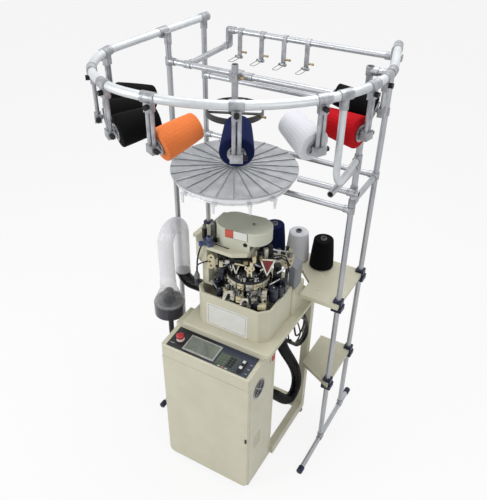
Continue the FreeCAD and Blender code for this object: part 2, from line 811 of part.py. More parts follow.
def guide_bar_clamp():
    """Cross clamp that holds the guide bar against the front of the right post."""
    upright = rod((POST_HALF_SPAN, 0, GUIDE_BAR_Z - FITTING_HALF),
                  (POST_HALF_SPAN, 0, GUIDE_BAR_Z + FITTING_HALF), FITTING_R)
    level = rod((POST_HALF_SPAN - FITTING_HALF, guide_bar_y(), GUIDE_BAR_Z),
                (POST_HALF_SPAN + FITTING_HALF, guide_bar_y(), GUIDE_BAR_Z), FITTING_R)
    bore_up = rod((POST_HALF_SPAN, 0, GUIDE_BAR_Z - FITTING_HALF),
                  (POST_HALF_SPAN, 0, GUIDE_BAR_Z + FITTING_HALF), TUBE_R + SLEEVE_GAP)
    bore_level = rod((POST_HALF_SPAN - FITTING_HALF, guide_bar_y(), GUIDE_BAR_Z),
                     (POST_HALF_SPAN + FITTING_HALF, guide_bar_y(), GUIDE_BAR_Z), TUBE_R + SLEEVE_GAP)
    return fused([upright, level]).cut(Part.makeCompound([bore_up, bore_level]))


def link_fittings():
    link_z = RAIL_Z - LINK_DROP
    at_post = fitting((POST_HALF_SPAN, 0, link_z), Z_DIR, [X_DIR])
    point, _ = rail_at(RIGHT_LINK_STATION)
    socket = rod((point.x, 0, link_z), (point.x - RAIL_R - FITTING_HALF, 0, link_z), FITTING_R)
    at_rail = fused([rail_sleeve(RIGHT_LINK_STATION), socket]).cut(RAIL_BORE)
    bore = rod((link_bar_end_x(), 0, link_z), (POST_HALF_SPAN, 0, link_z), TUBE_R + SLEEVE_GAP)
    return group([at_post, at_rail.cut(bore)])


def stop_bar_lug():
    """Sleeve on the rail's right end with a lug down to the stop bar, and the bar's bore."""
    end, way = rail_at(rail_length())
    sleeve = Part.makeCylinder(RAIL_R + RAIL_SLEEVE_WALL, RAIL_SLEEVE_LENGTH,
                               end - way * RAIL_SLEEVE_LENGTH, way)
    start = V(stop_bar_end_x() - FITTING_REACH, STOP_BAR_Y, STOP_BAR_Z)
    socket = rod(start, (end.x + RAIL_R, STOP_BAR_Y, STOP_BAR_Z), FITTING_R)
    lug_y = end.y - RAIL_SLEEVE_LENGTH / 2
    lug = box(end.x - TUBE_R / 2, end.x + TUBE_R / 2, lug_y, STOP_BAR_Y, STOP_BAR_Z, RAIL_Z)
    bore = rod(start, (stop_bar_end_x(), STOP_BAR_Y, STOP_BAR_Z), TUBE_R + SLEEVE_GAP)
    return fused([sleeve, socket, lug]), bore


def rail_post_fittings():
    made = []
    places = (
        (0.0, -POST_HALF_SPAN, POST_DEPTH),
        (LEFT_POST_STATION, -POST_HALF_SPAN, 0.0),
        (RIGHT_POST_STATION, POST_HALF_SPAN, POST_DEPTH),
    )
    for station, x, y in places:
        body = rail_socket(station, x, y, RAIL_R + FITTING_REACH)
        if station == 0.0:
            body = fused([body, Part.makeSphere(RAIL_R + RAIL_SLEEVE_WALL, rail_at(0.0)[0])])
        bore = rod((x, y, RAIL_Z - RAIL_D * 2), (x, y, RAIL_Z - RAIL_R), TUBE_R + SLEEVE_GAP)
        if station == RIGHT_POST_STATION:
            lug, lug_bore = stop_bar_lug()
            body = fused([body, lug]).cut(lug_bore)
        made.append(body.cut(RAIL_BORE).cut(bore))
    point, _ = brace_points()
    body = rail_socket(BRACE_STATION, point.x, point.y, RAIL_R + FITTING_REACH)
    bore = rod((point.x, point.y, RAIL_Z - RAIL_D * 2), (point.x, point.y, RAIL_Z - RAIL_R),
               TUBE_R + SLEEVE_GAP)
    made.append(body.cut(RAIL_BORE).cut(bore))
    return group(made)


def post_cross_clamp():
    """Block that clamps the centre post to the front of the top cross bar."""
    wide = CENTRE_POST_D / 2 + FITTING_WALL
    body = box(POST_X - wide, POST_X + wide, DISC_Y - wide, TUBE_R + FITTING_WALL,
               FRONT_TOP_BAR_Z - FITTING_R, FRONT_TOP_BAR_Z + FITTING_R)
    post = rod((POST_X, DISC_Y, DISC_Z), (POST_X, DISC_Y, CENTRE_POST_TOP), CENTRE_POST_D / 2 + SLEEVE_GAP)
    left_end = (POST_X - POST_CLAMP_LEFT, 0, FRONT_TOP_BAR_Z)
    right_end = (POST_X + POST_CLAMP_RIGHT, 0, FRONT_TOP_BAR_Z)
    sleeve = rod(left_end, right_end, FITTING_R)
    bar = rod(left_end, right_end, TUBE_R + SLEEVE_GAP)
    tip, seat = post_screw_axis()
    screw = rod(tip, seat, BRASS_D / 4 + SLEEVE_GAP)
    return fused([body, sleeve]).cut(post).cut(bar).cut(screw)


# ================================================================ cone drops
def drop_frame(station):
    """Rail point, way along the rail and way to the inside of the ring."""
    point, way = rail_at(station)
    return point, way, V(-way.y, way.x, 0)


def drop_length(station):
    return SHORT_DROP_LENGTH if DROP_STATIONS.index(station) in SHORT_DROPS else DROP_LENGTH


def foot_centre(station):
    point, _, _ = drop_frame(station)
    return point - Z_DIR * drop_length(station)


def foot_frame(station):
    """Ways along and across a drop's foot, which is turned with its cone."""
    _, way, inward = drop_frame(station)
    turn = DROP_TURNS[DROP_STATIONS.index(station)]
    return spun_vector(way, Z_DIR, turn), spun_vector(inward, Z_DIR, turn)


def aligned_box(centre, way, inward, length, depth, height):
    """A box with its length along way and its depth along inward."""
    corner = V(centre) - way * (length / 2) - inward * (depth / 2) - Z_DIR * (height / 2)
    far = corner + way * length
    points = [corner, far, far + inward * depth, corner + inward * depth]
    return prism([tuple(p) for p in points], Z_DIR * height)


def cone_drops():
    made = []
    for station in DROP_STATIONS:
        point, way, inward = drop_frame(station)
        foot_way, foot_inward = foot_frame(station)
        foot = foot_centre(station)
        width = DROP_ROD_PITCH + DROP_ROD_D
        head = aligned_box(point - Z_DIR * (RAIL_R + DROP_HEAD_H / 2), way, inward,
                           width, DROP_ROD_D + 2 * FITTING_WALL, DROP_HEAD_H + RAIL_R)
        block = aligned_box(foot, foot_way, foot_inward, DROP_FOOT_W, DROP_FOOT_T, DROP_FOOT_H)
        rods = []
        for side in (-1, 1):
            axis = way * (side * DROP_ROD_PITCH / 2)
            rods.append(rod(point + axis - Z_DIR * RAIL_D, foot + axis, DROP_ROD_D / 2))
        body = fused([rail_sleeve(station), head, block] + rods).cut(RAIL_BORE)
        stem = Part.makeCylinder(HOLDER_STEM_D / 2 + SLEEVE_GAP, DROP_FOOT_T, foot, foot_inward)
        screws = [rod(tip, seat, KNOB_SCREW_D / 2 + SLEEVE_GAP) for tip, seat in knob_axes(station)]
        made.append(body.cut(Part.makeCompound([stem] + screws)))
    return group(made)


def knob_axes(station):
    """Tip and seat of the two clamp screws: at the foot's outer end and at the head."""
    point, _, inward = drop_frame(station)
    foot_way, _ = foot_frame(station)
    foot_seat = foot_centre(station) + foot_way * (DROP_FOOT_W / 2)
    head_seat = point - Z_DIR * (RAIL_R + DROP_HEAD_H / 2) - inward * (DROP_ROD_D / 2 + FITTING_WALL)
    return (
        (foot_seat - foot_way * KNOB_SCREW_LENGTH, foot_seat),
        (head_seat + inward * KNOB_SCREW_LENGTH, head_seat),
    )


def drop_knobs():
    made = []
    for station in DROP_STATIONS:
        for tip, seat in knob_axes(station):
            out = seat - tip
            out.normalize()
            head_start = seat + out * SEAT_GAP
            head = Part.makeCylinder(KNOB_D / 2, KNOB_LENGTH, head_start, out)
            grip = [Part.makeCylinder(KNOB_GROOVE_R, KNOB_LENGTH, head_start + spoke, out)
                    for spoke in knob_grooves(out)]
            screw = rod(tip + out * SEAT_GAP, head_start, KNOB_SCREW_D / 2)
            made.append(fused([head.cut(Part.makeCompound(grip)), screw]))
    return group(made)


def knob_grooves(out):
    side = out.cross(Z_DIR)
    side.normalize()
    up = side.cross(out)
    return [side * (math.cos(a) * KNOB_D / 2) + up * (math.sin(a) * KNOB_D / 2)
            for a in [math.radians(360.0 * step / KNOB_GROOVES) for step in range(KNOB_GROOVES)]]


def cone_seat(station):
    """Point where the cone's base lies, and the way to its tip."""
    _, inward = foot_frame(station)
    lift = math.radians(DROP_LIFTS[DROP_STATIONS.index(station)])
    way = inward * math.cos(lift) + Z_DIR * math.sin(lift)
    start = foot_centre(station) + inward * (DROP_FOOT_T / 2)
    return start + way * HOLDER_STEM_LENGTH, way, start, inward


def cone_holders():
    made = []
    for station in DROP_STATIONS:
        seat, way, start, inward = cone_seat(station)
        stem = Part.makeCylinder(HOLDER_STEM_D / 2, DROP_FOOT_T / 2 + SEAT_GAP,
                                 start - inward * (DROP_FOOT_T / 2 - SEAT_GAP), inward)
        shoulder = Part.makeCylinder(HOLDER_SHOULDER_R, HOLDER_SHOULDER_T,
                                     start + inward * SEAT_GAP, inward)
        neck = rod(start + way * (HOLDER_SHOULDER_T / 2), seat, HOLDER_STEM_D / 2 - SEAT_GAP)
        flange = Part.makeCylinder(HOLDER_FLANGE_R, HOLDER_FLANGE_T, seat - way * HOLDER_FLANGE_T, way)
        windows = []
        for step in range(HOLDER_WINDOWS):
            side = inward.cross(Z_DIR)
            spoke = spun_vector(side, way, 360.0 * step / HOLDER_WINDOWS) * HOLDER_WINDOW_OUT
            windows.append(Part.makeCylinder(HOLDER_WINDOW_R, HOLDER_FLANGE_T,
                                             seat - way * HOLDER_FLANGE_T + spoke, way))
        plug_base = CORE_BASE_R - CORE_WALL - SEAT_GAP
        plug = rod(seat, seat + way * HOLDER_PLUG_LENGTH, plug_base * 0.5)
        rings = [Part.makeCylinder(core_inner(h) - SEAT_GAP, 4.0, seat + way * h, way)
                 for h in (4.0, HOLDER_PLUG_LENGTH - 4.0)]
        cut_flange = flange.cut(Part.makeCompound(windows))
        made.append(fused([stem, shoulder, neck, cut_flange, plug] + rings))
    return group(made)


def spun_vector(vector, axis, angle):
    return FreeCAD.Rotation(axis, angle).multVec(vector)


def core_outer(height):
    """Radius of the core's outside at a height above the cone's base."""
    span = CONE_LENGTH + CORE_BASE_OUT + CORE_TIP_OUT
    return CORE_BASE_R + (CORE_TIP_R - CORE_BASE_R) * (height + CORE_BASE_OUT) / span


def core_inner(height):
    return core_outer(height) - CORE_WALL


def wound_cone(seat, way, base_r=CONE_BASE_R, tip_r=CONE_TIP_R):
    low = SEAT_GAP + CORE_BASE_OUT
    outer = taper(V(seat) + way * low, V(seat) + way * (low + CONE_LENGTH), base_r, tip_r)
    rims = [e for e in outer.Edges if len(e.Vertexes) == 1]
    outer = outer.makeFillet(CONE_EDGE_R, rims)
    hole = taper(V(seat) + way * low, V(seat) + way * (low + CONE_LENGTH),
                 core_outer(0) + SLEEVE_GAP, core_outer(CONE_LENGTH) + SLEEVE_GAP)
    return outer.cut(hole)


def core(seat, way):
    low = SEAT_GAP
    high = low + CORE_BASE_OUT + CONE_LENGTH + CORE_TIP_OUT
    tip = V(seat) + way * high
    outer = taper(V(seat) + way * low, tip, CORE_BASE_R, CORE_TIP_R)
    inner = taper(V(seat) + way * low, tip, CORE_BASE_R - CORE_WALL, CORE_TIP_R - CORE_WALL)
    return outer.cut(inner)


def shelf_seats():
    """The three cones in a row at the rear of the upper shelf: black, white and navy."""
    return [(V(SHELF_CONE_X - SHELF_CONE_PITCH * n, SHELF_CONE_Y, UPPER_SHELF_Z), Z_DIR) for n in range(3)]


def ring_seats(numbers):
    return [cone_seat(DROP_STATIONS[n])[:2] for n in numbers]


def black_cones():
    full = [wound_cone(seat, way) for seat, way in ring_seats(BLACK_DROPS) + shelf_seats()[0:1]]
    seat, way = ring_seats(SHORT_DROPS)[0]
    return group(full + [wound_cone(seat, way, USED_CONE_BASE_R, USED_CONE_TIP_R)])


def orange_cone():
    return group([wound_cone(seat, way) for seat, way in ring_seats(ORANGE_DROPS)])


def navy_cones():
    return group([wound_cone(seat, way) for seat, way in ring_seats(NAVY_DROPS) + shelf_seats()[2:3]])


def white_cones():
    return group([wound_cone(seat, way) for seat, way in ring_seats(WHITE_DROPS) + shelf_seats()[1:2]])


def red_cone():
    return group([wound_cone(seat, way) for seat, way in ring_seats(RED_DROPS)])


def cone_cores():
    return group([core(seat, way) for seat, way in ring_seats(range(len(DROP_STATIONS))) + shelf_seats()])


# ================================================================ shelves
def folded_plate(outline, top):
    """A sheet plate with its edge folded down all round."""
    face = Part.Face(Part.makePolygon([V(x, y, top) for x, y in outline + outline[:1]]))
    whole = face.extrude(V(0, 0, -SHELF_LIP))
    inner_face = Part.Face(Part.makePolygon([V(x, y, top - SHELF_T) for x, y in outline + outline[:1]]))
    shrunk = inner_face.makeOffset2D(-SHELF_T)
    return whole.cut(Part.Face(shrunk.Wires[0]).extrude(V(0, 0, -SHELF_LIP)))


def upper_outline():
    rear = SHELF_REAR_Y
    return [
        (-SHELF_SIDE_X, UPPER_STRIP_Y),
        (UPPER_WING_X - UPPER_WING_CUT, UPPER_STRIP_Y),
        (UPPER_WING_X, UPPER_STRIP_Y - UPPER_WING_CUT),
        (UPPER_WING_X, SHELF_FRONT_Y),
        (SHELF_SIDE_X, SHELF_FRONT_Y),
        (SHELF_SIDE_X, rear),
        (-SHELF_SIDE_X, rear),
    ]


def lower_outline():
    return [
        (LOWER_SHELF_X, SHELF_FRONT_Y + LOWER_CORNER_CUT),
        (SHELF_SIDE_X, SHELF_FRONT_Y),
        (SHELF_SIDE_X, SHELF_REAR_Y),
        (LOWER_SHELF_X, SHELF_REAR_Y),
    ]


def clamp_places():
    """Foot point of each shelf clamp: the post's axis at the plate's top."""
    places = []
    for x, y, _ in post_tops():
        if x > 0:
            places.append((x, y, LOWER_SHELF_Z))
        if x > 0 or y > 0:
            places.append((x, y, UPPER_SHELF_Z))
    return places


def shelf_plates():
    cuts = []
    half = CLAMP_W / 2 + SEAT_GAP
    for x, y, top in clamp_places():
        cuts.append(box(x - half, x + half, y - half, y + half, top - 2 * SHELF_LIP, top + 1))
    for across, back in SHELF_HOLES:
        x = UPPER_WING_X + across
        y = SHELF_FRONT_Y + back
        cuts.append(rod((x, y, UPPER_SHELF_Z - SHELF_T), (x, y, UPPER_SHELF_Z), SHELF_HOLE_D / 2))
    cuts = Part.makeCompound(cuts)
    plates = [folded_plate(upper_outline(), UPPER_SHELF_Z), folded_plate(lower_outline(), LOWER_SHELF_Z)]
    return group([plate.cut(cuts) for plate in plates])


def shelf_clamps():
    """Plastic blocks on the posts: a ledge below the plate and a head in its notch."""
    made = []
    for x, y, top in clamp_places():
        ledge_z = top - SHELF_LIP - SEAT_GAP
        head_z = top + CLAMP_RISE
        blocks = []
        for half, low, high in ((CLAMP_W / 2 + CLAMP_LEDGE, ledge_z - CLAMP_H, ledge_z),
                                (CLAMP_W / 2, ledge_z - CLAMP_H, head_z)):
            block = box(x - half, x + half, y - half, y + half, low, high)
            corners = upright_edges(block, x - half, x + half, y - half, y + half)
            blocks.append(block.makeFillet(CAP_WALL, corners))
        bore = rod((x, y, ledge_z - CLAMP_H), (x, y, head_z), TUBE_R + SLEEVE_GAP)
        made.append(fused(blocks).cut(bore))
    return group(made)


# ================================================================ centre post, disc and rings
def centre_post():
    return tube((POST_X, DISC_Y, DISC_Z - DISC_HUB_H), (POST_X, DISC_Y, CENTRE_POST_TOP),
                CENTRE_POST_D / 2, TUBE_WALL)


def post_axis(z):
    return V(POST_X, DISC_Y, z)


def post_bore():
    return CENTRE_POST_D / 2 + SLEEVE_GAP


def guide_disc():
    inner = post_bore()
    profile = [
        (inner, DISC_CONE_H - DISC_T),
        (inner, DISC_CONE_H),
        (DISC_R, 0.0),
        (DISC_R, -DISC_LIP),
        (DISC_R - DISC_T, -DISC_LIP),
        (DISC_R - DISC_T, -DISC_T),
    ]
    return turned(profile, post_axis(DISC_Z), Z_DIR)


def disc_rods():
    """Spider of radial rods on the disc, with the hub that holds disc and rods to the post."""
    hub_low = DISC_Z + DISC_CONE_H + SEAT_GAP
    parts = [collar(post_axis(hub_low), Z_DIR, DISC_HUB_R, post_bore(), DISC_HUB_H)]
    radius = DISC_ROD_D / 2
    for step in range(DISC_ROD_COUNT):
        way = spun_vector(X_DIR, Z_DIR, 360.0 * step / DISC_ROD_COUNT)
        start = post_axis(hub_low + radius) + way * (DISC_HUB_R - radius)
        end = post_axis(DISC_Z + radius + SEAT_GAP) + way * (DISC_R - DISC_T)
        parts.append(rod(start, end, radius))
    return fused(parts)


def skirt_top_z():
    """The skirt's top edge lies just below the disc's sloping underside."""
    inner = post_bore()
    slope = DISC_CONE_H / (DISC_R - inner)
    return DISC_Z - DISC_T + slope * (DISC_R - DISC_T - SKIRT_R) - SEAT_GAP


def disc_skirt():
    top = skirt_top_z()
    band = collar(post_axis(top - SKIRT_H), Z_DIR, SKIRT_R, SKIRT_R - SKIRT_T, SKIRT_H)
    bead = Part.makeTorus(SKIRT_R, SKIRT_BEAD_D / 2, post_axis(top - SKIRT_H))
    return fused([band, bead])


def yarn_spouts():
    """Funnels that clip on the skirt's bead, one for each group of yarns."""
    made = []
    bead_z = skirt_top_z() - SKIRT_H
    for angle in SPOUT_ANGLES:
        way = spun_vector(X_DIR, Z_DIR, angle)
        side = Z_DIR.cross(way)
        seat = post_axis(bead_z) + way * SKIRT_R
        clip = aligned_box(seat, side, way, SPOUT_TOP_D, SPOUT_TOP_D, SPOUT_TOP_D)
        axis = seat + way * SPOUT_TOP_D
        wall = TUBE_WALL
        funnel = taper(axis + Z_DIR * (SPOUT_TOP_D / 2), axis - Z_DIR * SPOUT_LENGTH,
                       SPOUT_TOP_D / 2, SPOUT_END_D / 2)
        hole = taper(axis + Z_DIR * (SPOUT_TOP_D / 2), axis - Z_DIR * SPOUT_LENGTH,
                     SPOUT_TOP_D / 2 - wall, SPOUT_END_D / 2 - wall)
        bead = Part.makeTorus(SKIRT_R, SKIRT_BEAD_D / 2 + SLEEVE_GAP, post_axis(bead_z))
        band = collar(post_axis(bead_z), Z_DIR, SKIRT_R + SLEEVE_GAP,
                      SKIRT_R - SKIRT_T - SLEEVE_GAP, SKIRT_H)
        made.append(fused([clip, funnel]).cut(Part.makeCompound([bead, band, hole])))
    return group(made)


def guide_rings():
    """Black rim round the centre post, on a hub with flat spokes in its low plane."""
    low = GUIDE_RING_LOW_Z
    start = post_bore() + GUIDE_RING_T
    length = GUIDE_RING_R - GUIDE_RING_T / 2 - start
    parts = [
        collar(post_axis(low), Z_DIR, start + GUIDE_RING_T, post_bore(), GUIDE_HUB_H),
        collar(post_axis(low), Z_DIR, GUIDE_RING_R, GUIDE_RING_R - GUIDE_RING_T, GUIDE_RING_BAND),
    ]
    for step in range(GUIDE_RING_SPOKES):
        way = spun_vector(X_DIR, Z_DIR, 360.0 * step / GUIDE_RING_SPOKES + GUIDE_SPOKE_TURN)
        middle = post_axis(low + GUIDE_RING_T / 2) + way * (start + length / 2)
        parts.append(aligned_box(middle, way, Z_DIR.cross(way), length, GUIDE_SPOKE_W, GUIDE_RING_T))
    return fused(parts)


# ================================================================ yarn stops
def stop_x(number):
    return STOP_FIRST_X + STOP_PITCH * number


def stop_pin_z():
    return STOP_BAR_Z - STOP_DROP


def stop_bodies():
    made = []
    pin_half = STOP_WIRE_W / 2 + STOP_WIRE_D + RUN_GAP
    for number in range(STOP_COUNT):
        x = stop_x(number)
        half = STOP_STRAP_W / 2
        ring = rod((x - half, STOP_BAR_Y, STOP_BAR_Z), (x + half, STOP_BAR_Y, STOP_BAR_Z), FITTING_R)
        strap_y = STOP_BAR_Y - FITTING_R
        strap = box(x - half, x + half, strap_y, strap_y + STOP_STRAP_T, stop_pin_z() - half, STOP_BAR_Z)
        boss_half = STOP_WIRE_W / 2 - STOP_WIRE_D - RUN_GAP
        pin_y = strap_y - STOP_PIN_D
        pin_z = stop_pin_z()
        boss = rod((x - boss_half, pin_y, pin_z), (x + boss_half, pin_y, pin_z), STOP_PIN_D + 2)
        pin = rod((x - pin_half, pin_y, pin_z), (x + pin_half, pin_y, pin_z), STOP_PIN_D / 2)
        heads = [rod((x + side * pin_half, pin_y, stop_pin_z()),
                     (x + side * (pin_half + STOP_WIRE_D), pin_y, stop_pin_z()), STOP_PIN_D)
                 for side in (-1, 1)]
        bar = rod((x - half, STOP_BAR_Y, STOP_BAR_Z), (x + half, STOP_BAR_Y, STOP_BAR_Z),
                  TUBE_R + SLEEVE_GAP)
        screw_tip, screw_seat = stop_screw_axis(number)
        screw = rod(screw_tip, screw_seat, BRASS_D / 4 + SLEEVE_GAP)
        body = fused([ring, strap, boss, pin] + heads)
        made.append(body.cut(Part.makeCompound([bar, screw])))
    return group(made)


def stop_screw_axis(number):
    """Tip and seat of the brass screw in the strap's right edge."""
    seat = V(stop_x(number) + STOP_STRAP_W / 2, STOP_BAR_Y - FITTING_R + STOP_STRAP_T / 2,
             stop_pin_z() + STOP_STRAP_W)
    return seat - X_DIR * (STOP_STRAP_W / 2), seat


def stop_arm(number):
    """Wire bow that turns on the stop's pin and feels the yarn."""
    x = stop_x(number)
    pin_y = STOP_BAR_Y - FITTING_R - STOP_PIN_D
    z = stop_pin_z()
    half = STOP_WIRE_W / 2
    near_y = pin_y - STOP_PIN_D / 2 - STOP_WIRE_D / 2
    bow_y = pin_y - STOP_WIRE_L
    wire = Part.Wire([
        Part.LineSegment(V(x - half, near_y, z), V(x - half, bow_y, z)).toShape(),
        Part.Arc(V(x - half, bow_y, z), V(x, bow_y - half, z), V(x + half, bow_y, z)).toShape(),
        Part.LineSegment(V(x + half, bow_y, z), V(x + half, near_y, z)).toShape(),
    ])
    ring = Part.Wire(Part.makeCircle(STOP_WIRE_D / 2, V(x - half, near_y, z), Y_DIR))
    parts = [wire.makePipeShell([ring], True, False)]
    for side in (-1, 1):
        eye_x = x + side * half
        parts.append(rod((eye_x - STOP_WIRE_D, pin_y, z), (eye_x + STOP_WIRE_D, pin_y, z),
                         STOP_PIN_D / 2 + STOP_WIRE_D))
    bore = rod((x - STOP_WIRE_W, pin_y, z), (x + STOP_WIRE_W, pin_y, z), STOP_PIN_D / 2 + SLEEVE_GAP / 2)
    return fused(parts).cut(bore)


def brass_screw(tip, seat):
    out = V(seat) - V(tip)
    out.normalize()
    start = V(seat) + out * SEAT_GAP
    head = Part.makeCylinder(BRASS_D / 2, BRASS_LENGTH, start, out)
    neck = Part.makeCylinder(BRASS_D / 2, BRASS_D, start + out * BRASS_NECK_OUT, out)
    waist = Part.makeCylinder(BRASS_D / 2 + 1, BRASS_WAIST_LENGTH, start + out * BRASS_WAIST_OUT, out)
    shank = rod(V(tip) + out * SEAT_GAP, start, BRASS_D / 4)
    return fused([head, neck, waist, shank])


def brass_screws():
    made = [brass_screw(*stop_screw_axis(number)) for number in range(STOP_COUNT)]
    made.append(brass_screw(*post_screw_axis()))
    made.append(brass_screw(*ring_screw_axis()))
    return group(made)


def post_screw_axis():
    """Tip and seat of the screw in the right side of the post's cross clamp."""
    wide = CENTRE_POST_D / 2 + FITTING_WALL
    seat = V(POST_X + wide, DISC_Y, FRONT_TOP_BAR_Z)
    return seat - X_DIR * (FITTING_WALL - SEAT_GAP), seat


def ring_screw_axis():
    """Tip and seat of the screw on the outside of the lower guide ring."""
    seat = V(POST_X + GUIDE_RING_R, DISC_Y, GUIDE_RING_LOW_Z + GUIDE_RING_BAND / 2)
    return seat - X_DIR * SEAT_GAP, seat


# ================================================================ cabinet
def side_prism(outline, x0, x1):
    """An outline of (y, z) corners, pushed across the machine."""
    return prism([(x0, y, z) for y, z in outline], V(x1 - x0, 0, 0))


def cabinet_body():
    top = TABLE_BOTTOM_Z - SEAT_GAP
    outline = [
        (CAB_REAR_Y, CAB_BOTTOM_Z),
        (CAB_FRONT_Y, CAB_BOTTOM_Z),
        (CAB_FRONT_Y, DOOR_TOP_Z + DOOR_GAP),
        (DOOR_FRONT_Y, DOOR_TOP_Z + DOOR_GAP),
        (DOOR_FRONT_Y, CAB_SIDE_Z),
        (PANEL_REAR_Y, CAB_PANEL_Z),
        (PANEL_REAR_Y, top),
        (CAB_REAR_Y, top),
    ]
    body = side_prism(outline, CAB_LEFT_X, CAB_RIGHT_X)
    round_edges = upright_edges(body, CAB_LEFT_X, CAB_RIGHT_X, DOOR_FRONT_Y, DOOR_FRONT_Y)
    front_top = [e for e in level_edges(body, CAB_SIDE_Z) if e.BoundBox.XLength > CAB_EDGE_R]
    body = body.makeFillet(CAB_EDGE_R, round_edges + front_top)
    w = CAB_WALL
    hollow = side_prism([
        (CAB_REAR_Y - w, CAB_BOTTOM_Z + w),
        (CAB_FRONT_Y + w, CAB_BOTTOM_Z + w),
        (CAB_FRONT_Y + w, DOOR_TOP_Z + DOOR_GAP + w),
        (DOOR_FRONT_Y + 2 * w, DOOR_TOP_Z + DOOR_GAP + w),
        (DOOR_FRONT_Y + 2 * w, CAB_SIDE_Z - 2 * w),
        (PANEL_REAR_Y, CAB_PANEL_Z - 2 * w),
        (PANEL_REAR_Y + w, top - w),
        (CAB_REAR_Y - w, top - w),
    ], CAB_LEFT_X + w, CAB_RIGHT_X - w)
    doorway = box(CAB_LEFT_X + CAB_FRAME, CAB_RIGHT_X - CAB_FRAME, CAB_FRONT_Y - 1, CAB_FRONT_Y + 2 * w,
                  CAB_BOTTOM_Z + CAB_FRAME, DOOR_TOP_Z - CAB_FRAME)
    vent = rod((CAB_RIGHT_X - 2 * w, FAN_Y, FAN_Z), (CAB_RIGHT_X + 1, FAN_Y, FAN_Z), FAN_D / 2)
    body = fused([body, rocker_seat()])
    cuts = [hollow, doorway, vent, rocker_pocket()] + louvre_slots()
    cuts.append(on_panel(disc((estop_x(), panel_depth() / 2, -CAB_EDGE_R), Z_DIR,
                              ESTOP_STEM_R + RUN_GAP, 2 * CAB_EDGE_R)))
    seam = box(CAB_RIGHT_X - SEAM_W / 2, CAB_RIGHT_X + SEAM_W / 2, CAB_REAR_Y - SEAM_IN - SEAM_W,
               CAB_REAR_Y - SEAM_IN, CAB_BOTTOM_Z, CAB_SIDE_Z)
    return body.cut(Part.makeCompound(cuts)).cut(seam)


def louvre_slots():
    slots = []
    for step in range(LOUVRE_COUNT):
        z = LOUVRE_Z + LOUVRE_PITCH * step
        slots.append(box(CAB_RIGHT_X - CAB_WALL - 1, CAB_RIGHT_X + 1, LOUVRE_Y - LOUVRE_L / 2,
                         LOUVRE_Y + LOUVRE_L / 2, z, z + LOUVRE_H))
    return slots


def rocker_seat():
    half_y = ROCKER_W / 2 + ROCKER_PLATE_MARGIN
    half_z = ROCKER_H / 2 + ROCKER_PLATE_MARGIN
    plate = box(CAB_RIGHT_X - CAB_WALL, CAB_RIGHT_X + ROCKER_PLATE_T, ROCKER_Y - half_y, ROCKER_Y + half_y,
                ROCKER_Z - half_z, ROCKER_Z + half_z)
    return plate


def rocker_pivot_x():
    return CAB_RIGHT_X + ROCKER_PLATE_T / 2


def rocker_pocket():
    half_y = ROCKER_W / 2 + RUN_GAP / 2
    half_z = ROCKER_H / 2 + RUN_GAP
    hole = box(CAB_RIGHT_X - 2 * ROCKER_T, CAB_RIGHT_X + ROCKER_T, ROCKER_Y - half_y, ROCKER_Y + half_y,
               ROCKER_Z - half_z, ROCKER_Z + half_z)
    pin = rod((rocker_pivot_x(), ROCKER_Y - half_y - ROCKER_PIN_OUT - RUN_GAP, ROCKER_Z),
              (rocker_pivot_x(), ROCKER_Y + half_y + ROCKER_PIN_OUT + RUN_GAP, ROCKER_Z),
              ROCKER_PIN_R + SLEEVE_GAP / 2)
    return fused([hole, pin])


def rocker_switch():
    """Red rocker: a shallow V in front, turning on two short pins."""
    x = rocker_pivot_x()
    half = ROCKER_H / 2
    back = ROCKER_BACK_H / 2
    outline = [
        (x - ROCKER_T, ROCKER_Z - back),
        (x + ROCKER_CREST, ROCKER_Z - half),
        (x + ROCKER_VALLEY, ROCKER_Z),
        (x + ROCKER_CREST, ROCKER_Z + half),
        (x - ROCKER_T, ROCKER_Z + back),
    ]
    y0 = ROCKER_Y - ROCKER_W / 2
    body = prism([(px, y0, pz) for px, pz in outline], V(0, ROCKER_W, 0))
    y1 = y0 + ROCKER_W
    pin = rod((x, y0 - ROCKER_PIN_OUT, ROCKER_Z), (x, y1 + ROCKER_PIN_OUT, ROCKER_Z), ROCKER_PIN_R)
    return fused([body, pin])


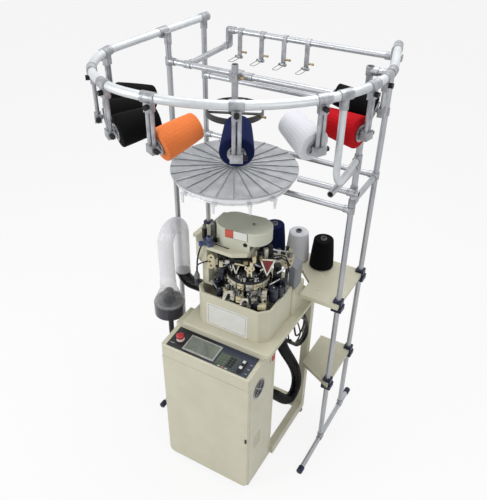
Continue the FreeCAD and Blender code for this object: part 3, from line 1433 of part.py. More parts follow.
def cabinet_door():
    body = box(CAB_LEFT_X, CAB_RIGHT_X, DOOR_FRONT_Y, DOOR_FRONT_Y + DOOR_T, CAB_BOTTOM_Z, DOOR_TOP_Z)
    lower = [e for e in level_edges(body, CAB_BOTTOM_Z) if e.BoundBox.YLength > DOOR_T / 2]
    body = body.makeFillet(DOOR_CORNER_R, lower)
    front = [e for e in body.Edges if abs(e.BoundBox.YMin - DOOR_FRONT_Y) < TINY
             and e.BoundBox.YLength < TINY and e.BoundBox.ZMin < DOOR_TOP_Z - 1]
    body = body.makeFillet(DOOR_EDGE_R, front)
    w = DOOR_WALL
    tray = box(CAB_LEFT_X + CAB_FRAME, CAB_RIGHT_X - CAB_FRAME, DOOR_FRONT_Y + w + 1, DOOR_FRONT_Y + DOOR_T,
               CAB_BOTTOM_Z + DOOR_CORNER_R, DOOR_TOP_Z - CAB_FRAME)
    knuckles = []
    for z in (HINGE_LOW_Z, HINGE_HIGH_Z):
        low = z + HINGE_LENGTH / 3 + SEAT_GAP
        high = z + HINGE_LENGTH * 2 / 3 - SEAT_GAP
        knuckle = rod((hinge_x(), hinge_y(), low), (hinge_x(), hinge_y(), high), HINGE_KNUCKLE_D / 2)
        leaf_y = hinge_y() - HINGE_KNUCKLE_D / 2
        leaf = box(hinge_x(), CAB_LEFT_X + w, leaf_y - w, leaf_y + 1, low, high)
        bore = rod((hinge_x(), hinge_y(), low), (hinge_x(), hinge_y(), high),
                   HINGE_PIN_D / 2 + SLEEVE_GAP / 2)
        knuckles.append(fused([knuckle, leaf]).cut(bore))
    stem = rod((latch_x(), DOOR_FRONT_Y - 1, LATCH_Z), (latch_x(), DOOR_FRONT_Y + DOOR_T, LATCH_Z),
               LATCH_T + SLEEVE_GAP / 2)
    return fused([body.cut(tray)] + knuckles).cut(stem)


def hinge_x():
    return CAB_LEFT_X - HINGE_KNUCKLE_D / 2 - SEAT_GAP


def hinge_y():
    return CAB_FRONT_Y - DOOR_GAP / 2


def latch_x():
    return CAB_RIGHT_X - LATCH_W


def door_hinges():
    """Fixed knuckles on the cabinet's left side, each pair with its pin."""
    made = []
    for z in (HINGE_LOW_Z, HINGE_HIGH_Z):
        third = HINGE_LENGTH / 3
        parts = [rod((hinge_x(), hinge_y(), z), (hinge_x(), hinge_y(), z + HINGE_LENGTH), HINGE_PIN_D / 2)]
        for low in (z, z + 2 * third):
            parts.append(rod((hinge_x(), hinge_y(), low), (hinge_x(), hinge_y(), low + third),
                             HINGE_KNUCKLE_D / 2))
        leaf_y = hinge_y() + HINGE_KNUCKLE_D / 2
        leaf = box(CAB_LEFT_X - DOOR_WALL - SEAT_GAP, CAB_LEFT_X - SEAT_GAP,
                   leaf_y, leaf_y + 2 * HINGE_KNUCKLE_D, z, z + HINGE_LENGTH)
        for low in (z, z + 2 * third):
            parts.append(box(hinge_x(), CAB_LEFT_X - SEAT_GAP, hinge_y() + HINGE_KNUCKLE_D / 4,
                             hinge_y() + HINGE_KNUCKLE_D, low, low + third))
        made.append(fused(parts + [leaf]))
    return group(made)


def door_latch():
    """Quarter-turn latch: an outer grip, a stem through the door and an inner tongue."""
    grip_y = DOOR_FRONT_Y - SEAT_GAP - LATCH_T
    grip = box(latch_x() - LATCH_W / 2, latch_x() + LATCH_W / 2, grip_y, grip_y + LATCH_T,
               LATCH_Z - LATCH_L / 2, LATCH_Z + LATCH_L / 2)
    stem_end = (latch_x(), DOOR_FRONT_Y + DOOR_T - SEAT_GAP, LATCH_Z)
    stem = rod((latch_x(), grip_y, LATCH_Z), stem_end, LATCH_T)
    return fused([grip, stem])


def fan_guard():
    """Wire guard outside the vent, with the spindle that the fan turns on."""
    x = CAB_RIGHT_X + SEAT_GAP
    centre = V(x, FAN_Y, FAN_Z)
    outer = FAN_D / 2 + 2 * GUARD_T
    parts = [collar(centre, X_DIR, outer, FAN_D / 2 - GUARD_T, GUARD_T)]
    for step in range(1, GUARD_RINGS + 1):
        radius = (FAN_D / 2) * step / (GUARD_RINGS + 1)
        parts.append(collar(centre, X_DIR, radius + GUARD_T / 2, radius - GUARD_T / 2, GUARD_T))
    for turn in (45.0, 135.0):
        bar = box(x, x + GUARD_T, FAN_Y - FAN_D / 2, FAN_Y + FAN_D / 2, FAN_Z - GUARD_T, FAN_Z + GUARD_T)
        parts.append(spun(bar, centre, turn, X_DIR))
    parts.append(rod((x - FAN_DEPTH, FAN_Y, FAN_Z), (x + GUARD_T, FAN_Y, FAN_Z), GUARD_T))
    parts.append(rod((x - FAN_DEPTH - GUARD_T, FAN_Y, FAN_Z), (x - FAN_DEPTH, FAN_Y, FAN_Z), 2 * GUARD_T))
    return fused(parts)


def fan_rotor():
    x0 = CAB_RIGHT_X - FAN_DEPTH + RUN_GAP
    x1 = CAB_RIGHT_X - CAB_WALL
    hub = rod((x0, FAN_Y, FAN_Z), (x1, FAN_Y, FAN_Z), FAN_HUB_R)
    blades = []
    for step in range(FAN_BLADES):
        blade = box(x0 + FAN_BLADE_T, x1 - FAN_BLADE_T, FAN_Y - FAN_BLADE_T / 2, FAN_Y + FAN_BLADE_T / 2,
                    FAN_Z + FAN_HUB_R - FAN_BLADE_T, FAN_Z + FAN_D / 2 - FAN_TIP_GAP)
        middle = V((x0 + x1) / 2, FAN_Y, FAN_Z)
        blade.rotate(middle, Z_DIR, FAN_PITCH)
        blades.append(spun(blade, middle, 360.0 * step / FAN_BLADES, X_DIR))
    bore = rod((x0, FAN_Y, FAN_Z), (x1, FAN_Y, FAN_Z), GUARD_T + SLEEVE_GAP / 2)
    return fused([hub] + blades).cut(bore)


# ================================================================ control panel
def on_panel(shape):
    """Move a form from the flat panel frame (x across, y up the slope, z outwards) to its place."""
    placed = shape.copy()
    placed.rotate(V(0, 0, 0), X_DIR, PANEL_SLOPE)
    placed.translate(V(0, DOOR_FRONT_Y, CAB_SIDE_Z))
    return placed


def panel_depth():
    return math.hypot(PANEL_REAR_Y - DOOR_FRONT_Y, CAB_PANEL_Z - CAB_SIDE_Z)


def estop_x():
    return PANEL_LEFT_X + ESTOP_FROM_LEFT


def key_places():
    x = PANEL_RIGHT_X - KEY_FROM_RIGHT
    middle = panel_depth() / 2
    return [(x, middle + side * KEY_PITCH / 2) for side in (-1, 1)]


def control_panel():
    plate = box(PANEL_LEFT_X, PANEL_RIGHT_X, CAB_EDGE_R + 1, panel_depth() - SEAT_GAP, 0, PANEL_T)
    cuts = [disc((estop_x(), panel_depth() / 2, 0), Z_DIR, ESTOP_STEM_R + RUN_GAP, PANEL_T)]
    half = KEY_SIZE / 2 + SEAT_GAP
    for x, y in key_places():
        cuts.append(box(x - half, x + half, y - half, y + half, 0, PANEL_T))
    return on_panel(plate.cut(Part.makeCompound(cuts)))


def bezel_corner():
    return PANEL_LEFT_X + BEZEL_FROM_LEFT, (panel_depth() - BEZEL_D) / 2


def display_bezel():
    x, y = bezel_corner()
    body = box(x, x + BEZEL_W, y, y + BEZEL_D, PANEL_T, PANEL_T + BEZEL_T)
    body = body.makeChamfer(BEZEL_CHAMFER, level_edges(body, PANEL_T + BEZEL_T))
    f = BEZEL_FRAME
    window = box(x + f, x + BEZEL_W - f, y + f, y + BEZEL_D - f, PANEL_T, PANEL_T + BEZEL_T)
    return on_panel(body.cut(window))


def display_glass():
    x, y = bezel_corner()
    f = BEZEL_FRAME + SEAT_GAP
    return on_panel(box(x + f, x + BEZEL_W - f, y + f, y + BEZEL_D - f, PANEL_T, PANEL_T + BEZEL_T / 2))


def panel_key(number):
    x, y = key_places()[number]
    half = KEY_SIZE / 2
    body = box(x - half, x + half, y - half, y + half, KEY_TRAVEL + SEAT_GAP, PANEL_T + KEY_T)
    return on_panel(body.makeFillet(KEY_EDGE_R, level_edges(body, PANEL_T + KEY_T)))


def estop_collar():
    seat = (estop_x(), panel_depth() / 2, PANEL_T)
    top = (seat[0], seat[1], PANEL_T + ESTOP_COLLAR_H)
    body = taper(seat, top, ESTOP_COLLAR_R, ESTOP_COLLAR_TOP_R)
    return on_panel(body.cut(disc(seat, Z_DIR, ESTOP_STEM_R + SLEEVE_GAP / 2, ESTOP_COLLAR_H)))


def estop_button():
    x, y = estop_x(), panel_depth() / 2
    low = PANEL_T + ESTOP_COLLAR_H + ESTOP_TRAVEL + RUN_GAP
    head = disc((x, y, low), Z_DIR, ESTOP_HEAD_R, ESTOP_HEAD_H)
    rims = [e for e in level_edges(head, low + ESTOP_HEAD_H) if e.BoundBox.XLength > ESTOP_HEAD_R]
    head = head.makeFillet(ESTOP_HEAD_EDGE_R, rims)
    stem = rod((x, y, PANEL_T), (x, y, low), ESTOP_STEM_R)
    return on_panel(fused([head, stem]))


# ================================================================ table and base frame
def base_frame():
    """Welded frame of closed box section behind the cabinet."""
    front = CAB_REAR_Y + SEAT_GAP
    rear = LEG_REAR_Y
    beam_top = BEAM_Z + BEAM_H
    parts = []
    for x in (LEG_LEFT_X, LEG_OUT_X - LEG_W):
        parts.append(box(x, x + LEG_W, front, rear, BEAM_Z, beam_top))
        parts.append(box(x, x + LEG_W, rear - LEG_W, rear, beam_top, TABLE_BOTTOM_Z - SEAT_GAP))
    parts.append(box(LEG_LEFT_X, LEG_OUT_X, rear - LEG_W, rear, BEAM_Z, beam_top))
    top_z = TABLE_BOTTOM_Z - SEAT_GAP
    parts.append(box(LEG_LEFT_X, LEG_OUT_X, rear - LEG_W, rear, top_z - LEG_W, top_z))
    return fused(parts)


def foot_places():
    """Middle of each levelling foot and the height of what it carries."""
    left = LEG_LEFT_X + LEG_W / 2
    right = LEG_OUT_X - LEG_W / 2
    front_y = CAB_FRONT_Y + LEG_W
    rear_y = LEG_REAR_Y - LEG_W / 2
    inset = CAB_RIGHT_X - LEG_W
    return ((left, front_y, CAB_BOTTOM_Z), (inset, front_y, CAB_BOTTOM_Z),
            (left, rear_y, BEAM_Z), (right, rear_y, BEAM_Z))


def levelling_feet():
    made = []
    for x, y, carried in foot_places():
        pad = disc((x, y, 0), Z_DIR, FOOT_PAD_R, FOOT_PAD_H)
        pad = pad.makeChamfer(3.0, level_edges(pad, FOOT_PAD_H))
        stem = rod((x, y, FOOT_PAD_H / 2), (x, y, carried - SEAT_GAP), FOOT_STEM_R)
        made.append(fused([pad, stem]))
    return group(made)


def table_plate():
    body = box(TABLE_LEFT_X, TABLE_RIGHT_X, TABLE_FRONT_Y, TABLE_REAR_Y, TABLE_BOTTOM_Z, TABLE_TOP_Z)
    edges = upright_edges(body, TABLE_LEFT_X, TABLE_RIGHT_X, TABLE_FRONT_Y, TABLE_REAR_Y)
    body = body.makeFillet(4 * TABLE_EDGE_R, edges)
    return body.makeFillet(TABLE_EDGE_R, level_edges(body, TABLE_TOP_Z))


# ================================================================ knitting head
def head_axis(z):
    return V(HEAD_X, HEAD_Y, z)


def pot_outline(inset, chamfer):
    left = POT_LEFT_X + inset
    right = POT_RIGHT_X - inset
    front = POT_FRONT_Y + inset
    rear = POT_REAR_Y - inset
    return [
        (left + chamfer, front),
        (right - chamfer, front),
        (right, front + chamfer),
        (right, rear),
        (left, rear),
        (left, front + chamfer),
    ]


def upright_prism(outline, low, high):
    return prism([(x, y, low) for x, y in outline], V(0, 0, high - low))


def head_pot():
    body = upright_prism(pot_outline(0, POT_CHAMFER), TABLE_TOP_Z + SEAT_GAP, POT_TOP_Z)
    corners = [e for e in body.Edges if e.BoundBox.ZLength > POT_H / 2 and e.BoundBox.YMin < POT_REAR_Y - 1]
    body = body.makeFillet(POT_WALL, corners)
    body = body.makeFillet(POT_RIM_R, level_edges(body, POT_TOP_Z))
    floor = POT_TOP_Z - POT_DEPTH
    cavity = upright_prism(pot_outline(POT_WALL, POT_INNER_CHAMFER), floor, POT_TOP_Z)
    step = upright_prism(pot_outline(POT_WALL / 2, POT_INNER_CHAMFER), POT_TOP_Z - POT_WALL / 4, POT_TOP_Z)
    return body.cut(cavity).cut(step)


def stadium(left, right, radius, low, high):
    """Plate round two upright axes, with straight sides between them."""
    left = V(left[0], left[1], low)
    right = V(right[0], right[1], low)
    way = right - left
    way.normalize()
    side = Z_DIR.cross(way) * radius
    edges = [
        Part.LineSegment(left - side, right - side).toShape(),
        Part.Arc(right - side, right + way * radius, right + side).toShape(),
        Part.LineSegment(right + side, left + side).toShape(),
        Part.Arc(left + side, left - way * radius, left - side).toShape(),
    ]
    return Part.Face(Part.Wire(edges)).extrude(V(0, 0, high - low))


def cover_axes():
    right = (COVER_RIGHT_X, COVER_RIGHT_Y)
    left = (COVER_LEFT_X, right[1] - COVER_SKEW)
    return left, right


def arm_plate():
    """Flat plate of the arm, with a round front left corner and a slanted front right one."""
    low = COVER_BOTTOM_Z - ARM_PLATE_T
    outline = [
        (COVER_STEP_X, ARM_REAR_Y),
        (COLUMN_LEFT_X, ARM_REAR_Y),
        (COLUMN_LEFT_X, ARM_FRONT_Y),
        (ARM_SLANT_X, ARM_FRONT_Y),
        (COVER_STEP_X, ARM_NOSE_Y),
    ]
    plate = upright_prism(outline, low, COVER_BOTTOM_Z)
    corner = upright_edges(plate, COLUMN_LEFT_X, COLUMN_LEFT_X, ARM_FRONT_Y, ARM_FRONT_Y)
    plate = plate.makeFillet(ARM_CORNER_R, corner)
    return plate.makeFillet(ARM_PLATE_T / 6, level_edges(plate, COVER_BOTTOM_Z))


def arm_shoulder():
    """Rounded body under the arm's left end, on a pillar that stands at the pot's rim."""
    body = box(COLUMN_LEFT_X, SHOULDER_RIGHT_X, ARM_FRONT_Y, SHOULDER_REAR_Y,
               SHOULDER_LOW_Z, COVER_BOTTOM_Z - ARM_PLATE_T)
    corner = upright_edges(body, COLUMN_LEFT_X, COLUMN_LEFT_X, ARM_FRONT_Y, ARM_FRONT_Y)
    body = body.makeFillet(ARM_CORNER_R, corner)
    under = [e for e in level_edges(body, SHOULDER_LOW_Z) if e.BoundBox.XMax < SHOULDER_RIGHT_X - SEAT]
    body = body.makeFillet(SHOULDER_EDGE_R, under)
    foot_z = POT_TOP_Z + SEAT_GAP
    left = PILLAR_X - PILLAR_W / 2
    right = PILLAR_X + PILLAR_W / 2
    rear = PILLAR_FRONT_Y + PILLAR_D
    pillar = box(left, right, PILLAR_FRONT_Y, rear, foot_z, SHOULDER_LOW_Z + SHOULDER_EDGE_R)
    toe = box(left, right + PILLAR_TOE, PILLAR_FRONT_Y, rear, foot_z, foot_z + PILLAR_TOE_H)
    toe = toe.makeFillet(PILLAR_TOE_H / 2, [e for e in level_edges(toe, foot_z + PILLAR_TOE_H)
                                            if e.BoundBox.XMin > right])
    return fused([body, pillar, toe])


def head_casting():
    """Rear block, column and arm in one casting, cleared round the pot."""
    low = TABLE_TOP_Z + SEAT_GAP
    rear_face = POT_REAR_Y + SEAT_GAP
    block = box(POT_LEFT_X, DECK_RIGHT_X, rear_face, DECK_REAR_Y, low, DECK_TOP_Z)
    right_edges = upright_edges(block, DECK_RIGHT_X, DECK_RIGHT_X, rear_face, DECK_REAR_Y)
    block = block.makeFillet(DECK_EDGE_R, right_edges)
    column = box(COLUMN_LEFT_X, COLUMN_RIGHT_X, COLUMN_FRONT_Y, COLUMN_REAR_Y, low, COVER_BOTTOM_Z)
    left_edges = upright_edges(column, COLUMN_LEFT_X, COLUMN_LEFT_X, COLUMN_FRONT_Y, COLUMN_REAR_Y)
    column = column.makeFillet(DECK_EDGE_R, left_edges)
    left, right = cover_axes()
    core = stadium(left, right, ARM_CORE_R, ARM_BOTTOM_Z, COVER_BOTTOM_Z - ARM_PLATE_T)
    nose = box(COVER_STEP_X, COVER_STEP_X + COVER_R, ARM_FRONT_Y, COLUMN_REAR_Y,
               ARM_BOTTOM_Z, COVER_BOTTOM_Z)
    boss_end = head_axis(ARM_BOTTOM_Z - DIAL_BOSS_H)
    boss = taper(boss_end, head_axis(ARM_BOTTOM_Z), DIAL_BOSS_R, DIAL_BOSS_TOP_R)
    bore = disc(boss_end, Z_DIR, DIAL_SHAFT_R + SLEEVE_GAP / 2,
                DIAL_BOSS_H + ARM_T / 2)
    around_pot = upright_prism(pot_outline(-SEAT_GAP, POT_CHAMFER), low, POT_TOP_Z + SEAT_GAP)
    body = fused([block, column, arm_plate(), core.cut(nose), arm_shoulder(), boss])
    return body.cut(around_pot.cut(block)).cut(bore)


def arm_cover():
    left, right = cover_axes()
    top = COVER_BOTTOM_Z + COVER_H
    outer = stadium(left, right, COVER_R, COVER_BOTTOM_Z, top)
    outer = outer.makeFillet(COVER_EDGE_R, level_edges(outer, top))
    inner = stadium(left, right, COVER_R - COVER_WALL, COVER_BOTTOM_Z, top - COVER_WALL)
    hole_z = COVER_BOTTOM_Z + COVER_HOLE_RISE
    hole_start = (COVER_HOLE_X, right[1] - 2 * COVER_R, hole_z)
    hole = rod(hole_start, (COVER_HOLE_X, right[1], hole_z), COVER_HOLE_D / 2)
    step = box(COVER_STEP_X, COVER_RIGHT_X + COVER_R + SEAT, right[1] - 2 * COVER_R, right[1] + 2 * COVER_R,
               COVER_BOTTOM_Z, COVER_BOTTOM_Z + COVER_STEP_H)
    return outer.cut(inner).cut(hole).cut(step)


def drive_cover():
    """Grey cover on the rear block, its top sloping to the right."""
    low = DECK_TOP_Z + SEAT_GAP
    x0 = DRIVE_X - DRIVE_W / 2
    x1 = DRIVE_X + DRIVE_W / 2
    outline = [(x0, low), (x1, low), (x1, low + DRIVE_H - DRIVE_SLOPE), (x0, low + DRIVE_H)]
    body = prism([(x, DRIVE_Y - DRIVE_D / 2, z) for x, z in outline], V(0, DRIVE_D, 0))
    corners = upright_edges(body, x0, x1, DRIVE_Y - DRIVE_D / 2, DRIVE_Y + DRIVE_D / 2)
    return body.makeFillet(DRIVE_EDGE_R, corners)


def pot_floor_z():
    return POT_TOP_Z - POT_DEPTH


def cylinder_top_z():
    return pot_floor_z() + SEAT_GAP + CYL_H


def needle_cylinder():
    """Needle cylinder: a bored sleeve with upright tricks cut round its top end."""
    low = pot_floor_z() + SEAT_GAP
    body = collar(head_axis(low), Z_DIR, CYL_R, CYL_BORE_R, CYL_H)
    slot_low = low + CYL_H - TRICK_LENGTH
    cuts = []
    for step in range(TRICK_COUNT):
        slot = box(HEAD_X + CYL_R - TRICK_DEPTH, HEAD_X + CYL_R + 1,
                   HEAD_Y - TRICK_W / 2, HEAD_Y + TRICK_W / 2, slot_low, low + CYL_H)
        cuts.append(spun(slot, head_axis(low), 360.0 * step / TRICK_COUNT))
    return body.cut(Part.makeCompound(cuts))


def cam_z():
    return POT_TOP_Z + CAM_RISE


def cam_ring():
    """Cam box: a foot in the pot, a plate with lugs above the rim and a shell round the cylinder."""
    floor = pot_floor_z() + SEAT_GAP
    inner = CYL_R + RUN_GAP
    low = cam_z()
    profile = [
        (CAM_FOOT_IN_R, floor),
        (CAM_FOOT_OUT_R, floor),
        (CAM_FOOT_OUT_R, low),
        (CAM_OUTER_R, low),
        (CAM_OUTER_R, low + CAM_H),
        (CAM_SHELL_R, low + CAM_H),
        (CAM_SHELL_R - 4, low + CAM_H + CAM_SHELL_H),
        (inner, low + CAM_H + CAM_SHELL_H),
        (inner, low),
        (CAM_FOOT_IN_R, low),
    ]
    parts = [turned(profile, head_axis(0), Z_DIR)]
    for step in range(CAM_LUG_COUNT):
        lug = box(HEAD_X + CAM_OUTER_R - CAM_LUG_ROOT, HEAD_X + CAM_LUG_R,
                  HEAD_Y - CAM_LUG_W / 2, HEAD_Y + CAM_LUG_W / 2, low, low + CAM_LUG_H)
        parts.append(spun(lug, head_axis(0), 360.0 * step / CAM_LUG_COUNT + lug_turn()))
    return fused(parts)


def lug_turn():
    return 180.0 / CAM_LUG_COUNT


def ring_sector(inner, outer, angle, low, high):
    """Part of a ring about the head's axis, centred on the X direction."""
    ring = Part.makeCylinder(outer, high - low, head_axis(low), Z_DIR, angle)
    ring = ring.cut(Part.makeCylinder(inner, high - low, head_axis(low), Z_DIR, 360))
    return spun(ring, head_axis(low), -angle / 2)


def block_top_z():
    return cam_z() + CAM_H + SEAT_GAP + BLOCK_H


def cam_blocks():
    """Machined blocks: sectors on the cam plate and keys that hang in front of it."""
    made = []
    low = cam_z() + CAM_H + SEAT_GAP
    for step in range(BLOCK_COUNT):
        sector = ring_sector(BLOCK_IN_R, BLOCK_OUT_R, BLOCK_ANGLE, low, low + BLOCK_H)
        notch = box(HEAD_X + BLOCK_IN_R, HEAD_X + BLOCK_IN_R + (BLOCK_OUT_R - BLOCK_IN_R) / 2,
                    HEAD_Y - BLOCK_POST_W / 2, HEAD_Y + BLOCK_POST_W / 2, low + BLOCK_H - BLOCK_RISE / 2,
                    low + BLOCK_H)
        made.append(spun(sector.cut(notch), head_axis(0), 360.0 * step / BLOCK_COUNT))
    for angle in HANGING_ANGLES:
        high = cam_z() - SEAT_GAP
        key = box(HEAD_X + HANGING_IN_R, HEAD_X + HANGING_OUT_R, HEAD_Y - BLOCK_POST_W / 2,
                  HEAD_Y + BLOCK_POST_W / 2, high - HANGING_H, high)
        groove = box(HEAD_X + HANGING_OUT_R - 2, HEAD_X + HANGING_OUT_R, HEAD_Y - BLOCK_POST_W / 2,
                     HEAD_Y + BLOCK_POST_W / 2, high - HANGING_H / 2 - 1, high - HANGING_H / 2 + 1)
        made.append(spun(key.cut(groove), head_axis(0), angle))
    return group(made)


def dial():
    """Dial above the cylinder, with radial needle slots, on its shaft in the arm."""
    low = cylinder_top_z() + DIAL_GAP
    plate = disc(head_axis(low), Z_DIR, DIAL_R, DIAL_T)
    cuts = []
    for step in range(DIAL_SLOTS):
        slot = box(HEAD_X + DIAL_SLOT_IN_R, HEAD_X + DIAL_R + 1, HEAD_Y - 1, HEAD_Y + 1,
                   low + DIAL_T - 2, low + DIAL_T)
        cuts.append(spun(slot, head_axis(low), 360.0 * step / DIAL_SLOTS))
    cap = taper(head_axis(low + DIAL_T), head_axis(low + 2 * DIAL_T), DIAL_CAP_R, DIAL_CAP_TOP_R)
    shaft = rod(head_axis(low + DIAL_T), head_axis(ARM_BOTTOM_Z + ARM_T / 2 - RUN_GAP), DIAL_SHAFT_R)
    return fused([plate.cut(Part.makeCompound(cuts)), cap, shaft])


def finger_angles():
    step = 360.0 / BLOCK_COUNT
    return [step * (FINGER_FIRST_BLOCK + number) for number in range(FINGER_COUNT)]


def yarn_fingers():
    """Three-cornered yarn levers standing on the blocks, point down, leaning to the needles."""
    made = []
    low = block_top_z() + SEAT_GAP
    x = HEAD_X + (BLOCK_IN_R + BLOCK_OUT_R) / 2
    for angle in finger_angles():
        high = low + FINGER_STEM + FINGER_H
        half = FINGER_W / 2
        corners = [(x, HEAD_Y, low + FINGER_STEM), (x, HEAD_Y + half, high), (x, HEAD_Y - half, high)]
        plate = prism(corners, V(FINGER_T, 0, 0))
        hole = [
            (x - 1, HEAD_Y, low + FINGER_STEM + FINGER_POINT),
            (x - 1, HEAD_Y + half - FINGER_SIDE, high - FINGER_FRAME),
            (x - 1, HEAD_Y - half + FINGER_SIDE, high - FINGER_FRAME),
        ]
        window = prism(hole, V(FINGER_T + 2, 0, 0))
        foot = box(x, x + FINGER_T, HEAD_Y - FINGER_T, HEAD_Y + FINGER_T,
                   low, low + FINGER_STEM + FINGER_T * 2)
        frame = fused([plate.cut(window), foot])
        made.append(spun(frame, head_axis(0), angle))
    return group(made)


# ================================================================ suction
def smooth_route(points):
    """Straight runs joined by tangent arcs, each as large as its two runs allow."""
    points = [V(*p) for p in points]
    edges = []
    radii = []
    start = points[0]
    for before, at, after in zip(points, points[1:], points[2:]):
        way_in = at - before
        way_out = after - at
        run = min(way_in.Length, way_out.Length)
        half_turn = way_in.getAngle(way_out) / 2
        cut = BEND_SHARE * run
        radius = cut / math.tan(half_turn)
        way_in.normalize()
        way_out.normalize()
        first = at - way_in * cut
        last = at + way_out * cut
        bisector = way_out - way_in
        bisector.normalize()
        middle = at + bisector * (radius / math.cos(half_turn) - radius)
        edges.append(Part.LineSegment(start, first).toShape())
        edges.append(Part.Arc(first, middle, last).toShape())
        radii.append(radius)
        start = last
    edges.append(Part.LineSegment(start, points[-1]).toShape())
    return Part.Wire(edges), radii


def hose_along(route, diameter, wall=None):
    wire, radii = smooth_route(route)
    start = V(*route[0])
    way = V(*route[1]) - start
    outer = wire.makePipeShell([Part.Wire(Part.makeCircle(diameter / 2, start, way))], True, False)
    print("route radii", [round(r) for r in radii], "length", round(wire.Length),
          "volume ratio", round(outer.Volume / (math.pi * diameter ** 2 / 4 * wire.Length), 3))
    if wall is None:
        return outer
    inner = wire.makePipeShell([Part.Wire(Part.makeCircle(diameter / 2 - wall, start, way))], True, False)
    return outer.cut(inner)


def collector_jar():
    low = JAR_BOTTOM_Z
    band = low + JAR_BAND_H
    cone = band + JAR_CONE_H
    neck = JAR_NECK_R
    top = cone + JAR_NECK_H
    w = JAR_WALL
    profile = [
        (0.0, low),
        (JAR_R, low),
        (JAR_R, band),
        (neck, cone),
        (neck, top),
        (neck - w, top),
        (neck - w, cone),
        (JAR_R - w, band),
        (JAR_R - w, low + w),
        (0.0, low + w),
    ]
    return turned(profile, V(JAR_X, JAR_Y, 0), Z_DIR)


def jar_top_z():
    return JAR_BOTTOM_Z + JAR_BAND_H + JAR_CONE_H + JAR_NECK_H


def air_duct():
    """Clear duct: up from the jar, over a tight bend and down again behind."""
    start = V(JAR_X, JAR_Y, jar_top_z() + SEAT_GAP)
    bend_in = V(JAR_X, JAR_Y, DUCT_TOP_Z)
    crown = V(JAR_X, JAR_Y + DUCT_BEND_R, DUCT_TOP_Z + DUCT_BEND_R)
    bend_out = V(JAR_X, JAR_Y + 2 * DUCT_BEND_R, DUCT_TOP_Z)
    end = V(JAR_X, JAR_Y + 2 * DUCT_BEND_R, DUCT_REAR_Z)
    wire = Part.Wire([
        Part.LineSegment(start, bend_in).toShape(),
        Part.Arc(bend_in, crown, bend_out).toShape(),
        Part.LineSegment(bend_out, end).toShape(),
    ])
    outer = wire.makePipeShell([Part.Wire(Part.makeCircle(DUCT_R, start, Z_DIR))], True, False)
    inner = wire.makePipeShell([Part.Wire(Part.makeCircle(DUCT_R - DUCT_WALL, start, Z_DIR))], True, False)
    return outer.cut(inner)


def outlet_elbow():
    """Black elbow from the duct's rear leg into the left wall of the pot."""
    y = JAR_Y + 2 * DUCT_BEND_R
    top = V(JAR_X, y, DUCT_REAR_Z - SEAT_GAP)
    bend_r = DUCT_REAR_Z - SEAT_GAP - OUTLET_Z
    slant = math.sqrt(0.5)
    centre = V(JAR_X + bend_r, y, OUTLET_Z + bend_r)
    middle = centre + V(-bend_r * slant, 0, -bend_r * slant)
    low = V(JAR_X + bend_r, y, OUTLET_Z)
    end = V(POT_LEFT_X - SEAT_GAP, y, OUTLET_Z)
    wire = Part.Wire([Part.Arc(top, middle, low).toShape(), Part.LineSegment(low, end).toShape()])
    pipe = wire.makePipeShell([Part.Wire(Part.makeCircle(ELBOW_R, top, Z_DIR))], True, False)
    flange = rod((POT_LEFT_X - SEAT_GAP - STAND_PLATE_T, y, OUTLET_Z), (POT_LEFT_X - SEAT_GAP, y, OUTLET_Z),
                 ELBOW_R + STAND_PLATE_T)
    rim = disc((JAR_X, y, DUCT_REAR_Z - SEAT_GAP - 2 * STAND_PLATE_T), Z_DIR, DUCT_R, 2 * STAND_PLATE_T)
    return fused([pipe, flange, rim])


def collector_fittings():
    """The jar's stand on the cabinet's left side, and the black outlet elbow."""
    low = JAR_BOTTOM_Z - SEAT_GAP
    plate = disc((JAR_X, JAR_Y, low - STAND_PLATE_T), Z_DIR, STAND_PLATE_R, STAND_PLATE_T)
    post = rod((JAR_X, JAR_Y, STAND_BRACKET_Z), (JAR_X, JAR_Y, low), STAND_POST_R)
    side = CAB_LEFT_X - SEAT_GAP
    half = STAND_BRACKET_W / 2
    arm = box(JAR_X - half, side, JAR_Y - half, JAR_Y + half,
              STAND_BRACKET_Z, STAND_BRACKET_Z + STAND_PLATE_T)
    wall = box(side - STAND_PLATE_T, side, JAR_Y - half, JAR_Y + half, STAND_BRACKET_Z - STAND_BRACKET_H,
               STAND_BRACKET_Z + STAND_PLATE_T)
    return group([fused([plate, post, arm, wall]), outlet_elbow()])


def suction_hose():
    """Black hose from the table to the cabinet's rear wall, with a cuff at each end."""
    start = V(HOSE_ROUTE[0][0], HOSE_ROUTE[0][1], TABLE_BOTTOM_Z - SEAT_GAP)
    end = V(HOSE_ROUTE[-1][0], CAB_REAR_Y + SEAT_GAP, HOSE_ROUTE[-1][2])
    route = (tuple(start),) + HOSE_ROUTE[1:-1] + (tuple(end),)
    hose = hose_along(route, HOSE_D, HOSE_WALL)
    outer = HOSE_D / 2 + HOSE_COLLAR_WALL
    inner = HOSE_D / 2 + SLEEVE_GAP
    way = V(*route[1]) - V(*route[0])
    way.normalize()
    top = collar(start, way, outer, inner, HOSE_COLLAR_H)
    back = V(*route[-2]) - V(*route[-1])
    back.normalize()
    bottom = collar(end + back * HOSE_COLLAR_WALL, back, outer, inner, HOSE_COLLAR_H)
    return group([hose, top, bottom])


def wiring_loom():
    start = V(LOOM_ROUTE[0][0], LOOM_ROUTE[0][1], TABLE_BOTTOM_Z - SEAT_GAP)
    end = V(LOOM_ROUTE[-1][0], CAB_REAR_Y + SEAT_GAP, LOOM_ROUTE[-1][2])
    return hose_along((tuple(start),) + LOOM_ROUTE[1:-1] + (tuple(end),), LOOM_D)


